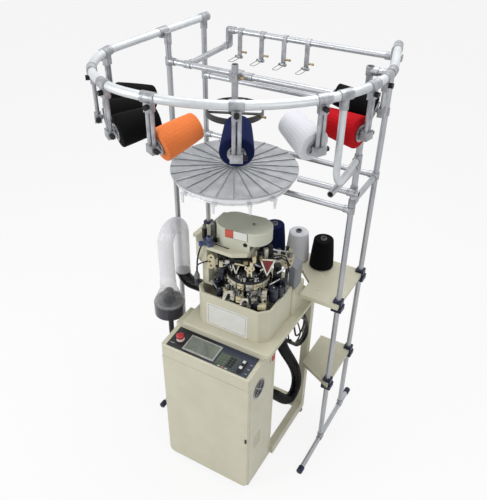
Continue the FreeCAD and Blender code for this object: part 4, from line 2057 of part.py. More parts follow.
# ================================================================ all nodes
def all_nodes():
    nodes = {
        "stand_uprights": stand_uprights(),
        "stand_bars": stand_bars(),
        "stand_brace": bent_brace(),
        "foot_tubes": foot_tubes(),
        "foot_caps": foot_caps(),
        "tube_fittings": tube_fittings(),
        "ring_rail": ring_rail(),
        "cone_drops": cone_drops(),
        "drop_knobs": drop_knobs(),
        "cone_holders": cone_holders(),
        "black_cones": black_cones(),
        "orange_cone": orange_cone(),
        "navy_cones": navy_cones(),
        "white_cones": white_cones(),
        "red_cone": red_cone(),
        "cone_cores": cone_cores(),
        "shelf_plates": shelf_plates(),
        "shelf_clamps": shelf_clamps(),
        "guide_disc": guide_disc(),
        "disc_rods": disc_rods(),
        "disc_skirt": disc_skirt(),
        "yarn_spouts": yarn_spouts(),
        "guide_rings": guide_rings(),
        "stop_bodies": stop_bodies(),
        "brass_screws": brass_screws(),
        "cabinet_body": cabinet_body(),
        "cabinet_door": cabinet_door(),
        "door_hinges": door_hinges(),
        "door_latch": door_latch(),
        "control_panel": control_panel(),
        "display_bezel": display_bezel(),
        "display_glass": display_glass(),
        "estop_collar": estop_collar(),
        "estop_button": estop_button(),
        "rocker_switch": rocker_switch(),
        "fan_guard": fan_guard(),
        "fan_rotor": fan_rotor(),
        "base_frame": base_frame(),
        "levelling_feet": levelling_feet(),
        "table_plate": table_plate(),
        "head_pot": head_pot(),
        "head_casting": head_casting(),
        "arm_cover": arm_cover(),
        "drive_cover": drive_cover(),
        "needle_cylinder": needle_cylinder(),
        "cam_ring": cam_ring(),
        "cam_blocks": cam_blocks(),
        "dial": dial(),
        "yarn_fingers": yarn_fingers(),
        "collector_jar": collector_jar(),
        "air_duct": air_duct(),
        "collector_fittings": collector_fittings(),
        "suction_hose": suction_hose(),
        "wiring_loom": wiring_loom(),
    }
    for number in range(STOP_COUNT):
        nodes["stop_arm_%d" % (number + 1)] = stop_arm(number)
    for number in range(len(key_places())):
        nodes["panel_key_%d" % (number + 1)] = panel_key(number)
    return nodes


def middle_shift(shapes):
    """Move that puts the middle of the whole over the origin, with its lowest point at zero."""
    bounds = Part.makeCompound(list(shapes)).optimalBoundingBox(False, False)
    return V(-(bounds.XMin + bounds.XMax) / 2, -(bounds.YMin + bounds.YMax) / 2, -bounds.ZMin)


NODES = all_nodes()
SHIFT = middle_shift(NODES.values())
os.makedirs("parts", exist_ok=True)
for name, shape in NODES.items():
    shape.translate(SHIFT)
    shape.exportStep("parts/%s.step" % name)
print("nodes", len(NODES), "shift", [round(v, 3) for v in SHIFT])
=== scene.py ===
import json
from math import atan2, cos, degrees, hypot, pi, radians, sin

import bmesh
import bpy
import numpy as np
from mathutils import Matrix, Vector


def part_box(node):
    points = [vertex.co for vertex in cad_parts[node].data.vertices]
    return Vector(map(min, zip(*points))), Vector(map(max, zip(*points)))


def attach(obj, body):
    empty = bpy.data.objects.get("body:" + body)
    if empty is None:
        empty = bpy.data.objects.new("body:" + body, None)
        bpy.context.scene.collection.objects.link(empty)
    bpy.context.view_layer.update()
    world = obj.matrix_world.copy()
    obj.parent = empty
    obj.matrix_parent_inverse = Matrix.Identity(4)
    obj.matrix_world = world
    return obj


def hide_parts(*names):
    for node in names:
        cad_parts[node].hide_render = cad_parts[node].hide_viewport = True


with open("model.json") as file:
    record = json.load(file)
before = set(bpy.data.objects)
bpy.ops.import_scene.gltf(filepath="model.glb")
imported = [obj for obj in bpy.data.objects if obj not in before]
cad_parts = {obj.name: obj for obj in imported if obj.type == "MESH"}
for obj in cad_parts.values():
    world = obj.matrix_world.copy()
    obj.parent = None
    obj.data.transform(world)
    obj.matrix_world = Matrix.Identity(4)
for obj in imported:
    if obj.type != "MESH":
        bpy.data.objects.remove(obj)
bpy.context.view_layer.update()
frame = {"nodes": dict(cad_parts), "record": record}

NODES = frame["nodes"]
MM = 0.001

# ---- places
# Places are in millimetres from the middle between the two front posts, on the floor.
TUBE_R = 13.5
stand_low, stand_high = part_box("stand_uprights")
ORIGIN = Vector(((stand_low.x + stand_high.x) / 2, stand_low.y + TUBE_R * MM, 0))


def at(x, y, z):
    """A place in millimetres as a point of the row frame, in metres."""
    return ORIGIN + Vector((x, y, z)) * MM


# ---- materials
def linear(code):
    """An sRGB hex colour as the linear colour that a socket takes."""
    parts = [int(code[i:i + 2], 16) / 255 for i in (0, 2, 4)]
    return (*(c / 12.92 if c <= 0.04045 else ((c + 0.055) / 1.055) ** 2.4 for c in parts), 1)


def per_mm(size):
    """Texture scale at which one cell is so many millimetres."""
    return 1 / (size * MM)


def feed(tree, source, socket):
    """Links an output, or the first output of a node, to an input."""
    tree.links.new(getattr(source, "outputs", [source])[0], socket)


def add_node(tree, kind, settings=None, values=None, links=None):
    """One node with its settings, the values of its inputs and what feeds them."""
    node = tree.nodes.new(kind)
    for name, value in (settings or {}).items():
        setattr(node, name, value)
    for name, value in (values or {}).items():
        node.inputs[name].default_value = value
    for name, source in (links or {}).items():
        feed(tree, source, node.inputs[name])
    return node


def bare_material(name):
    """Material without nodes, and its tree."""
    material = bpy.data.materials.new(name)
    material.use_nodes = True
    material.node_tree.nodes.clear()
    return material, material.node_tree


def start_material(name, **shader_values):
    """Material with its output and shader: the material, its tree, the shader and Object coordinates."""
    material, tree = bare_material(name)
    values = {key.replace("_", " "): value for key, value in shader_values.items()}
    shader = add_node(tree, "ShaderNodeBsdfPrincipled", values=values)
    add_node(tree, "ShaderNodeOutputMaterial", links={"Surface": shader})
    return material, tree, shader, add_node(tree, "ShaderNodeTexCoord").outputs["Object"]


def cloud(tree, spot, size, low, high, detail=2, start=0.35, end=0.65):
    """A value that drifts between low and high in patches so many millimetres wide."""
    noise = add_node(tree, "ShaderNodeTexNoise", values={"Scale": per_mm(size), "Detail": detail},
                     links={"Vector": spot})
    return add_node(tree, "ShaderNodeMapRange",
                    values={"From Min": start, "From Max": end, "To Min": low, "To Max": high},
                    links={"Value": noise})


def surface(tree, shader, share, first, second, roughness, height, depth, strength):
    """Feeds the shader: colour between two hex colours, roughness, and a bump of so many millimetres."""
    mix = add_node(tree, "ShaderNodeMix", {"data_type": "RGBA"}, {6: linear(first), 7: linear(second)},
                   {0: share})
    bump = add_node(tree, "ShaderNodeBump", values={"Strength": strength, "Distance": depth * MM},
                    links={"Height": height})
    feed(tree, mix.outputs[2], shader.inputs["Base Color"])
    feed(tree, bump, shader.inputs["Normal"])
    if roughness:
        feed(tree, roughness, shader.inputs["Roughness"])


def powder_coat(name, colour, stained, peel=3.5, rough=0.46):
    """Powder coat on sheet steel: slow patches of wear, and orange peel drawn coarse enough to show."""
    material, tree, shader, spot = start_material(name, IOR=1.5, Coat_Weight=0.12, Coat_Roughness=0.35)
    surface(tree, shader, cloud(tree, spot, 140, 0, 1, 5), colour, stained,
            cloud(tree, spot, 60, rough - 0.07, rough + 0.09, 4),
            cloud(tree, spot, peel, 0, 1, 1, 0.2, 0.8), 0.12, 0.6)
    return material


def drawn_tube(name, bright, dull, along, metallic=0.78, rough=0.34):
    """Drawn aluminium tube: fine lines along the tube, with dull patches from handling."""
    material, tree, shader, spot = start_material(name, Metallic=metallic)
    across = Vector((1, 1, 1)) - Vector(along) * 0.985
    stretched = add_node(tree, "ShaderNodeMapping", {}, {"Scale": across}, {"Vector": spot})
    lines = cloud(tree, stretched, 3, 0, 1, 3, 0.3, 0.7)
    both = add_node(tree, "ShaderNodeMath", {"operation": "MULTIPLY_ADD", "use_clamp": True}, {1: 0.4},
                    {0: lines, 2: cloud(tree, spot, 160, 0, 0.55, 3, 0.4, 0.75)})
    surface(tree, shader, both, bright, dull,
            cloud(tree, stretched, 5, rough - 0.08, rough + 0.1, 3), lines, 0.05, 0.5)
    return material


def cast_metal(name, bright, dull, grain=4, metallic=0.7, rough=0.42, depth=0.25):
    """Die-cast metal: a dull, slightly pitted skin, darker and lighter in broad patches."""
    material, tree, shader, spot = start_material(name, Metallic=metallic)
    surface(tree, shader, cloud(tree, spot, grain * 9, 0, 1, 4), bright, dull,
            cloud(tree, spot, grain * 3, rough - 0.1, rough + 0.12, 3),
            cloud(tree, spot, grain, 0, 1, 4), depth, 0.6)
    return material


def moulded(name, colour, second, rough, grain=1.6, sheen_mm=30, **extra):
    """Moulded plastic: even colour, a fine spark texture and softly uneven gloss."""
    material, tree, shader, spot = start_material(name, IOR=1.49, **extra)
    surface(tree, shader, cloud(tree, spot, sheen_mm, 0, 1, 3), colour, second,
            cloud(tree, spot, sheen_mm / 3, rough - 0.06, rough + 0.08, 3),
            cloud(tree, spot, grain, 0, 1, 1), 0.06, 0.5)
    return material


def brushed_round(name, bright, dull, centre, metallic, rough, rays=True):
    """Sheet or turned steel brushed in rays from an upright axis through centre, or in rings round it."""
    material, tree, shader, spot = start_material(name, Metallic=metallic)
    centred = add_node(tree, "ShaderNodeMapping", {}, {"Location": -centre}, {"Vector": spot})
    if rays:
        where = add_node(tree, "ShaderNodeTexGradient", {"gradient_type": "RADIAL"}, {}, {0: centred})
    else:
        flat = add_node(tree, "ShaderNodeVectorMath", {"operation": "MULTIPLY"}, {1: (1, 1, 0)},
                        {0: centred})
        where = add_node(tree, "ShaderNodeVectorMath", {"operation": "LENGTH"}, links={0: flat})
    grain = add_node(tree, "ShaderNodeTexNoise", {"noise_dimensions": "1D"},
                     {"Scale": 420 if rays else per_mm(2), "Detail": 3}, {"W": where.outputs[1]})
    lines = add_node(tree, "ShaderNodeMapRange", {}, {"From Min": 0.3, "From Max": 0.7}, {"Value": grain})
    both = add_node(tree, "ShaderNodeMath", {"operation": "MULTIPLY_ADD", "use_clamp": True}, {1: 0.5},
                    {0: lines, 2: cloud(tree, spot, 70, 0, 0.6, 3)})
    surface(tree, shader, both, bright, dull,
            cloud(tree, spot, 40, rough - 0.08, rough + 0.1, 3), lines, 0.06, 0.5)
    return material


# Millimetres, degrees and metres. A thread takes half a wave, and the winding map's unit is a metre.
THREAD_BAND = 3.8
THREAD_SLANT = 15
WAVE_AT_SCALE_1 = 0.314


def wound_yarn(name, colour, groove_shade, lint, sheen=0.2):
    """Yarn wound crosswise on a cone: two slanting sets of threads, drawn coarse enough to show, darker in
    the grooves between them as painted shade.
    """
    material, tree, shader, spot = start_material(
        name, Roughness=0.9, Sheen_Weight=sheen, Sheen_Roughness=0.6, Sheen_Tint=linear(lint),
        Specular_IOR_Level=0.12)
    uv = add_node(tree, "ShaderNodeUVMap", {"uv_map": "winding"})
    sets = []
    for slant in (THREAD_SLANT, -THREAD_SLANT):
        slanted = add_node(tree, "ShaderNodeMapping", values={"Rotation": (0, 0, radians(slant))},
                           links={"Vector": uv})
        sets.append(add_node(tree, "ShaderNodeTexWave", {"wave_type": "BANDS", "bands_direction": "Y"},
                             {"Scale": WAVE_AT_SCALE_1 * per_mm(THREAD_BAND) / 2, "Distortion": 1,
                              "Detail": 2, "Detail Scale": 3}, {"Vector": slanted}).outputs[1])
    threads = add_node(tree, "ShaderNodeMath", {"operation": "MAXIMUM"}, {}, dict(enumerate(sets)))
    height = add_node(tree, "ShaderNodeMath", {"operation": "ADD"},
                      links={0: threads, 1: cloud(tree, spot, 2.5, 0, 0.6, 3)})
    level = add_node(tree, "ShaderNodeMapRange", {}, {"From Min": 0.3, "From Max": 1.5}, {"Value": height})
    # Colour follows the height: the grooves between the threads take the darker colour as painted shade,
    # and the fine cloud in the height adds a random fibre tone.
    surface(tree, shader, level, groove_shade, colour, None, height, 0.8, 0.7)
    return material


def clear_plastic(name, clear, smoked, clear_alpha, smoked_alpha, rough, change=(-2, -1)):
    """Thin clear plastic: smoked below a height, clear above it, and denser where it is seen at a slant."""
    material, tree, shader, spot = start_material(name, IOR=1.45, Coat_Weight=0.3, Coat_Roughness=0.05)
    height = add_node(tree, "ShaderNodeSeparateXYZ", links={0: spot}).outputs[2]
    above = add_node(tree, "ShaderNodeMapRange", values={"From Min": change[0], "From Max": change[1]},
                     links={"Value": height})
    through = add_node(tree, "ShaderNodeMapRange", values={"To Min": smoked_alpha, "To Max": clear_alpha},
                       links={"Value": above})
    edge = add_node(tree, "ShaderNodeLayerWeight", values={"Blend": 0.35}).outputs[1]
    dense = add_node(tree, "ShaderNodeMath", {"operation": "MULTIPLY_ADD", "use_clamp": True}, {1: 0.45},
                     {0: edge, 2: through})
    feed(tree, dense, shader.inputs["Alpha"])
    surface(tree, shader, above, smoked, clear, cloud(tree, spot, 60, rough, rough + 0.08),
            cloud(tree, spot, 40, 0, 1), 0.3, 0.3)
    return material


def panel_film(name, left, right, change):
    """Printed film: black round the display, navy towards the keys, with a fine satin grain."""
    material, tree, shader, spot = start_material(name, IOR=1.49, Coat_Weight=0.15)
    across = add_node(tree, "ShaderNodeSeparateXYZ", links={0: spot})
    share = add_node(tree, "ShaderNodeMapRange", values={"From Min": change[0], "From Max": change[1]},
                     links={"Value": across})
    surface(tree, shader, share, left, right, cloud(tree, spot, 20, 0.3, 0.42),
            cloud(tree, spot, 1, 0, 1, 1), 0.03, 0.4)
    return material


def middle(node):
    """Middle of a CAD node's box."""
    low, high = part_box(node)
    return (low + high) / 2


HEAD_AXIS = middle("needle_cylinder")
DISC_AXIS = middle("guide_disc")
FINISH = {
    "cream_paint": powder_coat("cream_powder_coat", "cbc8b2", "c5c2ac"),
    "grey_green_paint": powder_coat("grey_green_enamel", "c6c8b7", "babcab", 3, 0.42),
    "blue_grey_paint": powder_coat("blue_grey_enamel", "8a8d92", "7c8086", 3, 0.42),
    "black_paint": powder_coat("black_lacquer", "0f0f11", "19191b", 2.5, 0.36),
    "bright_tube": drawn_tube("drawn_aluminium_upright", "b6b8bc", "94969b", (0, 0, 1)),
    "cast_fitting": cast_metal("die_cast_aluminium", "b0b2b6", "8d8f93"),
    "navy_plastic": moulded("navy_nylon", "1a1f3d", "131730", 0.38, Specular_IOR_Level=0.35),
    "black_plastic": moulded("black_polypropylene", "0d0d0f", "151517", 0.36, Specular_IOR_Level=0.35),
    "navy_panel": panel_film("printed_panel_film", "17181d", "31374a", (at(-20, 0, 0).x, at(70, 0, 0).x)),
    "bezel_grey": moulded("grey_abs_bezel", "aaaba6", "999b96", 0.42),
    "display_grey": moulded("display_window", "757c72", "6a7168", 0.12, 4, Coat_Weight=0.8),
    "disc_steel": brushed_round("spun_aluminium_disc", "b9bbbe", "95979b", DISC_AXIS, 0.7, 0.42),
    "rod_steel": cast_metal("welded_rod", "a5a7ab", "85878b", 5, 0.7, 0.4, 0.1),
    "skirt_steel": brushed_round("rolled_bright_steel", "f4f5f7", "e2e4e7", DISC_AXIS, 0.25, 0.3, False),
    "wire_steel": cast_metal("chromed_wire", "8f9194", "6c6e71", 5, 0.9, 0.24, 0.05),
    "brass": cast_metal("turned_brass", "a9966c", "857348", 3, 0.8, 0.34, 0.06),
    # Yarns: thread colour, the darker colour of the grooves between threads (painted shade), sheen tint and
    # sheen.
    "black_yarn": wound_yarn("black_wound_yarn", "09090b", "030304", "1c1c22", 0),
    "orange_yarn": wound_yarn("orange_wound_yarn", "ec8449", "d26a33", "ffc9a4"),
    "navy_yarn": wound_yarn("navy_wound_yarn", "111c47", "080e2b", "2c3f7c", 0.08),
    "white_yarn": wound_yarn("white_wound_yarn", "dedfe4", "c3c5cc", "ffffff"),
    "red_yarn": wound_yarn("red_wound_yarn", "c3121d", "9a0a14", "ff6a74", 0.1),
    "core_card": moulded("grey_card_core", "8c8e92", "77797d", 0.75, 2),
    "head_steel": brushed_round("turned_steel", "a2a4a6", "6f7173", HEAD_AXIS, 0.9, 0.3, False),
    "cam_steel": brushed_round("oiled_ground_steel", "5a5c5e", "37393b", HEAD_AXIS, 0.9, 0.34),
    "block_aluminium": cast_metal("milled_aluminium", "cfcdc4", "a3a198", 3, 0.55, 0.34, 0.08),
    "smoky_jar": clear_plastic("smoked_polycarbonate", "d8dadb", "2f2f3b", 0.03, 0.76, 0.06, (0.93, 0.95)),
    "clear_duct": clear_plastic("milky_pvc_duct", "f1f1f6", "f1f1f6", 0.26, 0.26, 0.12),
    "hose_rubber": moulded("black_ribbed_rubber", "030304", "060608", 0.26, 8, 30, Specular_IOR_Level=0.12),
    "stop_red": moulded("red_push_button", "c02127", "a81a20", 0.28, 3, Coat_Weight=0.4),
    "switch_red": moulded("red_rocker", "c0282b", "a82023", 0.3, 3),
    "key_white": moulded("white_key_cap", "dcdddd", "cfd0d0", 0.4),
    "black_rubber": moulded("black_rubber_tube", "0e0e10", "18181a", 0.4, Specular_IOR_Level=0.3),
    "white_enamel": moulded("white_enamel", "dededa", "d8d8d3", 0.34, 2.5),
    "plate_line": moulded("grey_plate_line", "8f9290", "838684", 0.4),
    "label_border": moulded("dark_label_border", "2e3034", "232528", 0.45),
    "label_red": moulded("red_label_field", "c8553f", "bb4a37", 0.42, 3),
    "cream_block": moulded("cream_enamel_block", "d9cfae", "c4b994", 0.42, 2.5, 12),
    "black_steel": cast_metal("blackened_steel", "19191b", "0d0d0f", 3, 0.45, 0.34, 0.1),
    "bright_steel": cast_metal("ground_steel", "bdbfc1", "7e8083", 2.5, 0.9, 0.28, 0.06),
    "white_metal": cast_metal("nickelled_plate", "dedccf", "bab7a8", 2.5, 0.35, 0.36, 0.08),
    "red_enamel": moulded("red_enamel", "761e1d", "5c1615", 0.35, 2.5),
    "blue_knob": moulded("blue_valve_knob", "2f4a8c", "263c74", 0.35, 2.5),
    "valve_blue": moulded("blue_grey_valve", "4a5472", "3b435c", 0.4, 2.5),
    "green_film": moulded("green_key_field", "5d6b59", "525f4e", 0.35, 1.2),
    "light_key": moulded("pale_membrane_key", "b8bdb4", "a9aea5", 0.35, 1.2),
    "pink_mark": moulded("pink_membrane_key", "b07a78", "a36c6a", 0.35, 1.2),
    "olive_brass": cast_metal("olive_passivated_fitting", "9a8f68", "6f6747", 3, 0.55, 0.36, 0.1),
    "valve_navy": moulded("navy_coil_housing", "1d2136", "141726", 0.36, 2.5, Coat_Weight=0.15),
    "grey_field": moulded("grey_key_surround", "454c4b", "3b4242", 0.35, 1.2),
    "dark_field": moulded("dark_key_field", "101217", "0a0b0e", 0.3, 1.2),
    "smoked_tube": moulded("smoked_inner_tube", "2b2b34", "202028", 0.3, 12, 40),
    "smoked_cup": moulded("smoked_inner_cup", "42424c", "34343d", 0.32, 12, 40),
    "grey_block": cast_metal("grey_cast_block", "7d8078", "5f625b", 4, 0.3, 0.45, 0.15),
}
BENT_RAIL = drawn_tube("bent_aluminium_rail", "d8dcdf", "b4b8bb", (0, 0, 0), 0.5, 0.4)
SPECIAL = {
    "foot_caps": FINISH["navy_plastic"], "ring_rail": BENT_RAIL, "stand_brace": BENT_RAIL,
    "stand_bars": drawn_tube("drawn_aluminium_bar", "b6b8bc", "94969b", (1, 0, 0)),
    "foot_tubes": drawn_tube("drawn_aluminium_foot", "b6b8bc", "94969b", (0, 1, 0)),
    "estop_collar": moulded("pale_button_collar", "e2d8d2", "d3c6c0", 0.35, 2.5),
}
SLOTS = {row["node"]: row["material_slot"] for row in frame["record"]["subparts"]}
for cad_node, cad_slot in SLOTS.items():
    coats = NODES[cad_node].data.materials
    coats.clear()
    coats.append(SPECIAL.get(cad_node, FINISH[cad_slot]))


# ---- mesh helpers
WELD = 1e-6


def as_mesh(name, bm):
    """Mesh made of a bmesh, which is given up."""
    mesh = bpy.data.meshes.new(name)
    bm.to_mesh(mesh)
    bm.free()
    return mesh


def show(name, data):
    """Object in the scene."""
    shown = bpy.data.objects.new(name, data)
    bpy.context.scene.collection.objects.link(shown)
    return shown


def mesh_piece(name, bm, finish, body="machine", bevel=0, smooth=30):
    """A finished piece at the origin from a bmesh in metres: welded, outward faces, edges broken."""
    bmesh.ops.remove_doubles(bm, verts=bm.verts, dist=WELD)
    bmesh.ops.recalc_face_normals(bm, faces=bm.faces)
    mesh = as_mesh(name, bm)
    piece = show(name, mesh)
    mesh.materials.append(FINISH[finish])
    if bevel:
        worn = piece.modifiers.new("broken_edges", "BEVEL")
        worn.width = bevel * MM
        worn.segments = 2
        worn.limit_method = "ANGLE"
        worn.angle_limit = radians(40)
    mesh.shade_smooth()
    mesh.set_sharp_from_angle(angle=radians(smooth))
    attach(piece, body)
    return piece


def ring(bm, spot, radius, height, steps):
    """Points round the frame's Z."""
    turns = [2 * pi * k / steps for k in range(steps)]
    return [bm.verts.new(spot @ Vector((radius * cos(a), radius * sin(a), height))) for a in turns]


def sew(bm, low, high):
    """Band of faces between two rings of points."""
    for k in range(len(low)):
        after = (k + 1) % len(low)
        bm.faces.new((low[k], low[after], high[after], high[k]))


# ---- yarn cones
def solid_points(mesh):
    """Point sets of a mesh's separate solids."""
    bm = bmesh.new()
    bm.from_mesh(mesh)
    bmesh.ops.remove_doubles(bm, verts=bm.verts, dist=WELD)
    left = set(bm.verts)
    found = []
    for seed in bm.verts:
        group = [seed] if seed in left else []
        left.discard(seed)
        for vert in group:
            near = [end for end in (edge.other_vert(vert) for edge in vert.link_edges) if end in left]
            left.difference_update(near)
            group += near
        if group:
            found.append([vert.co.copy() for vert in group])
    bm.free()
    return found


def cone_axis(points):
    """Big end's middle, way to the small end, and length between them, from a cone's points."""
    spread = np.array([tuple(p) for p in points])
    centre = Vector(spread.mean(axis=0))
    values, ways = np.linalg.eigh(np.cov((spread - spread.mean(axis=0)).T))
    odd = int(np.argmax([abs(values[i] - (values.sum() - values[i]) / 2) for i in range(3)]))
    way = Vector(ways[:, odd])
    along = [(p - centre).dot(way) for p in points]
    low, high = min(along), max(along)

    def radius(near):
        return max((p - centre - way * a).length for p, a in zip(points, along)
                   if abs(a - near) < (high - low) / 4)
    if radius(high) > radius(low):
        return centre + way * high, -way, high - low
    return centre + way * low, way, high - low


CONE_STEPS = 72
CONE_EDGE = 8 * MM
CONE_BULGE = 1.2 * MM


def cone_profile(length, big, small, bore):
    """Radius and height round the wound body: dished end, round edge, full side, round edge, dished end."""
    quarter = [pi / 2 * step / 4 for step in range(5)]
    points = [(bore, MM), (big * 0.62, -0.6 * MM)]
    points += [(big - CONE_EDGE + CONE_EDGE * sin(turn), CONE_EDGE - CONE_EDGE * cos(turn))
               for turn in quarter]
    for share in [step / 12 for step in range(1, 12)]:
        side = big + (small - big) * share + CONE_BULGE * sin(pi * share)
        points.append((side, CONE_EDGE + (length - 2 * CONE_EDGE) * share))
    points += [(small - CONE_EDGE + CONE_EDGE * cos(turn), length - CONE_EDGE + CONE_EDGE * sin(turn))
               for turn in quarter]
    return points + [(small * 0.6, length - MM), (bore, length - 3 * MM)]


def add_wound_body(bm, uv, spot, profile):
    """One wound body in bm, its map laid out in metres round and along the surface."""
    travelled = [0]
    for (r0, z0), (r1, z1) in zip(profile, profile[1:]):
        travelled.append(travelled[-1] + hypot(r1 - r0, z1 - z0))
    rings = [ring(bm, spot, radius, height, CONE_STEPS) for radius, height in profile]
    girth = 2 * pi * max(radius for radius, _ in profile)
    for row, (low, high) in enumerate(zip(rings, rings[1:])):
        for k in range(CONE_STEPS):
            after = (k + 1) % CONE_STEPS
            face = bm.faces.new((low[k], low[after], high[after], high[k]))
            corners = ((k, row), (k + 1, row), (k + 1, row + 1), (k, row + 1))
            for loop, (column, line) in zip(face.loops, corners):
                loop[uv].uv = (girth * column / CONE_STEPS, travelled[line])
    sew(bm, rings[-1], rings[0])


CORES = [cone_axis(points) for points in solid_points(NODES["cone_cores"].data)]


def wound_cones(node):
    """The wound cones of one colour, on the axes of their cores."""
    bm = bmesh.new()
    uv = bm.loops.layers.uv.new("winding")
    for points in solid_points(NODES[node].data):
        centre = sum(points, Vector()) / len(points)
        start, way, _ = min(CORES, key=lambda core: (core[0] + core[1] * core[2] / 2 - centre).length)
        along = [(p - start).dot(way) for p in points]
        low, high = min(along), max(along)
        length = high - low
        away = [((p - start - way * a).length, a) for p, a in zip(points, along)]
        big = max(r for r, a in away if a < low + length * 0.2)
        small = max(r for r, a in away if a > high - length * 0.12)
        bore = min(r for r, a in away) + 0.2 * MM
        spot = Matrix.Translation(start + way * low) @ way.to_track_quat("Z", "Y").to_matrix().to_4x4()
        add_wound_body(bm, uv, spot, cone_profile(length, big, small, bore))
    mesh = mesh_piece("wound_" + node, bm, SLOTS[node], smooth=50)
    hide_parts(node)


for cones in ("black_cones", "orange_cone", "navy_cones", "white_cones", "red_cone"):
    wound_cones(cones)


# ---- shapes in millimetres
HEAD = (76, -205)


def spin(angle, axis):
    """Turn by so many degrees about an axis."""
    return Matrix.Rotation(radians(angle), 4, axis)


def place(x, y, z, turn=0, lean=0, roll=0):
    """Frame in millimetres at a place: rolls about X, leans about Y, then turns about the upright."""
    pose = spin(turn, "Z") @ spin(lean, "Y") @ spin(roll, "X")
    return Matrix.Translation(at(x, y, z)) @ pose @ Matrix.Scale(MM, 4)


def round_head(angle, radius, z, turn=0, lean=0):
    """Frame beside the needle cylinder's axis: X points away from the axis, before its own turn."""
    x = HEAD[0] + radius * cos(radians(angle))
    y = HEAD[1] + radius * sin(radians(angle))
    return place(x, y, z, angle + turn, lean)


WHOLE = place(0, 0, 0)


def shifted(spot, x, y, z, turn=0):
    """The frame moved along its own axes, then turned about its Z."""
    return spot @ Matrix.Translation((x, y, z)) @ spin(turn, "Z")


def facing(spot, x, y, z):
    """The frame moved along its own axes, with its Z along what was its X, for parts that look outwards."""
    return shifted(spot, x, y, z) @ spin(90, "Y")


def strut(spot, start, end):
    """Frame at start whose Z runs to end, and the length between them."""
    way = Vector(end) - Vector(start)
    return spot @ Matrix.Translation(start) @ way.to_track_quat("Z", "Y").to_matrix().to_4x4(), way.length


def prism(bm, spot, outline, low, high):
    """Plate with an outline in the frame's X and Y, from low to high along its Z."""
    bottom, top = ([bm.verts.new(spot @ Vector((x, y, z))) for x, y in outline] for z in (low, high))
    bm.faces.new(bottom[::-1])
    bm.faces.new(top)
    sew(bm, bottom, top)


def block(bm, spot, wide, deep, high, cut=0):
    """Block standing on the frame's origin, with its two outer upright corners cut off."""
    x, y = wide / 2, deep / 2
    cut_off = [(x, -y + cut), (x, y - cut)] if cut else []
    prism(bm, spot, [(-x, -y), (x - cut, -y), *cut_off, (x - cut, y), (-x, y)], 0, high)


def upright_plate(bm, spot, outline, thick):
    """Plate with an outline in the frame's Y and Z, so thick along its X."""
    stood = spot @ Matrix(((0, 0, 1, 0), (1, 0, 0, 0), (0, 1, 0, 0), (0, 0, 0, 1)))
    prism(bm, stood, outline, -thick / 2, thick / 2)


def turned(bm, spot, profile, steps=24):
    """Turned part: (radius, height) points round the frame's Z, closed where the radius is 0."""
    rings = [ring(bm, spot, radius, height, steps if radius else 1) for radius, height in profile]
    pairs = list(zip(rings, rings[1:]))
    if len(rings[0]) > 1:
        pairs.append((rings[-1], rings[0]))
    for low, high in pairs:
        for k in range(steps):
            after = (k + 1) % steps
            corners = dict.fromkeys((low[k % len(low)], low[after % len(low)],
                                     high[after % len(high)], high[k % len(high)]))
            if len(corners) > 2:
                bm.faces.new(list(corners))


def rod(bm, start, end, radius, steps=12, spot=WHOLE):
    """Straight round bar between two points of a frame."""
    base, length = strut(spot, start, end)
    turned(bm, base, [(0, 0), (radius, 0), (radius, length), (0, length)], steps)


def skin_along(bm, spot, line, side, radii, steps):
    """Round skin with closed ends along a line of points, whose rings start towards side."""
    rings = []
    turns = [2 * pi * i / steps for i in range(steps)]
    for k, (point, radius) in enumerate(zip(line, radii)):
        way = (line[min(k + 1, len(line) - 1)] - line[max(k - 1, 0)]).normalized()
        side = (side - way * side.dot(way)).normalized()
        other = way.cross(side)
        rings.append([bm.verts.new(spot @ (point + (side * cos(a) + other * sin(a)) * radius))
                      for a in turns])
    for low, high in zip(rings, rings[1:]):
        sew(bm, low, high)
    bm.faces.new(rings[0][::-1])
    bm.faces.new(rings[-1])


def bent_rod(bm, spot, points, radius, steps=8, rounded=4):
    """Round bar along points, its corners rounded off, with closed ends."""
    line = [Vector(p) for p in points]
    smooth = [line[0]]
    for before, here, after in zip(line, line[1:], line[2:]):
        reach = min((before - here).length, (after - here).length) * 0.45
        start = here + (before - here).normalized() * reach
        end = here + (after - here).normalized() * reach
        for t in [step / rounded for step in range(rounded + 1)]:
            smooth.append(start * (1 - t) ** 2 + here * 2 * t * (1 - t) + end * t ** 2)
    smooth.append(line[-1])
    side = (smooth[1] - smooth[0]).orthogonal().normalized()
    skin_along(bm, spot, smooth, side, [radius] * len(smooth), steps)


def coil(bm, spot, radius, wire, length, turns):
    """Coil spring along the frame's Z."""
    count = int(turns * 10)
    bent_rod(bm, spot, [(radius * cos(2 * pi * turns * k / count), radius * sin(2 * pi * turns * k / count),
                         length * k / count) for k in range(count + 1)], wire, 6, 1)


def cap_screw(bm, spot, size):
    """Socket head screw standing on the frame's origin, with its hexagon socket."""
    turned(bm, spot, [(0, size * 0.5), (size * 0.5, size * 0.5), (size * 0.55, size), (size * 0.9, size),
                      (size, size * 0.85), (size, 0), (0, 0)], 12)


def boss(bm, spot, radius, length, steps=16):
    """Short turned boss along the frame's Z, with a broken edge and a centre hole."""
    turned(bm, spot, [(0, length * 0.6), (radius * 0.45, length * 0.6), (radius * 0.5, length),
                      (radius * 0.88, length), (radius, length * 0.88), (radius, 0), (0, 0)], steps)


def rounded_outline(wide, high, radius, steps=5):
    """Rectangle round the origin with round corners."""
    x, y = wide / 2 - radius, high / 2 - radius
    return [(middle_x + radius * cos(radians(start + 90 * k / steps)),
             middle_y + radius * sin(radians(start + 90 * k / steps)))
            for middle_x, middle_y, start in ((x, y, 0), (-x, y, 90), (-x, -y, 180), (x, -y, 270))
            for k in range(steps + 1)]


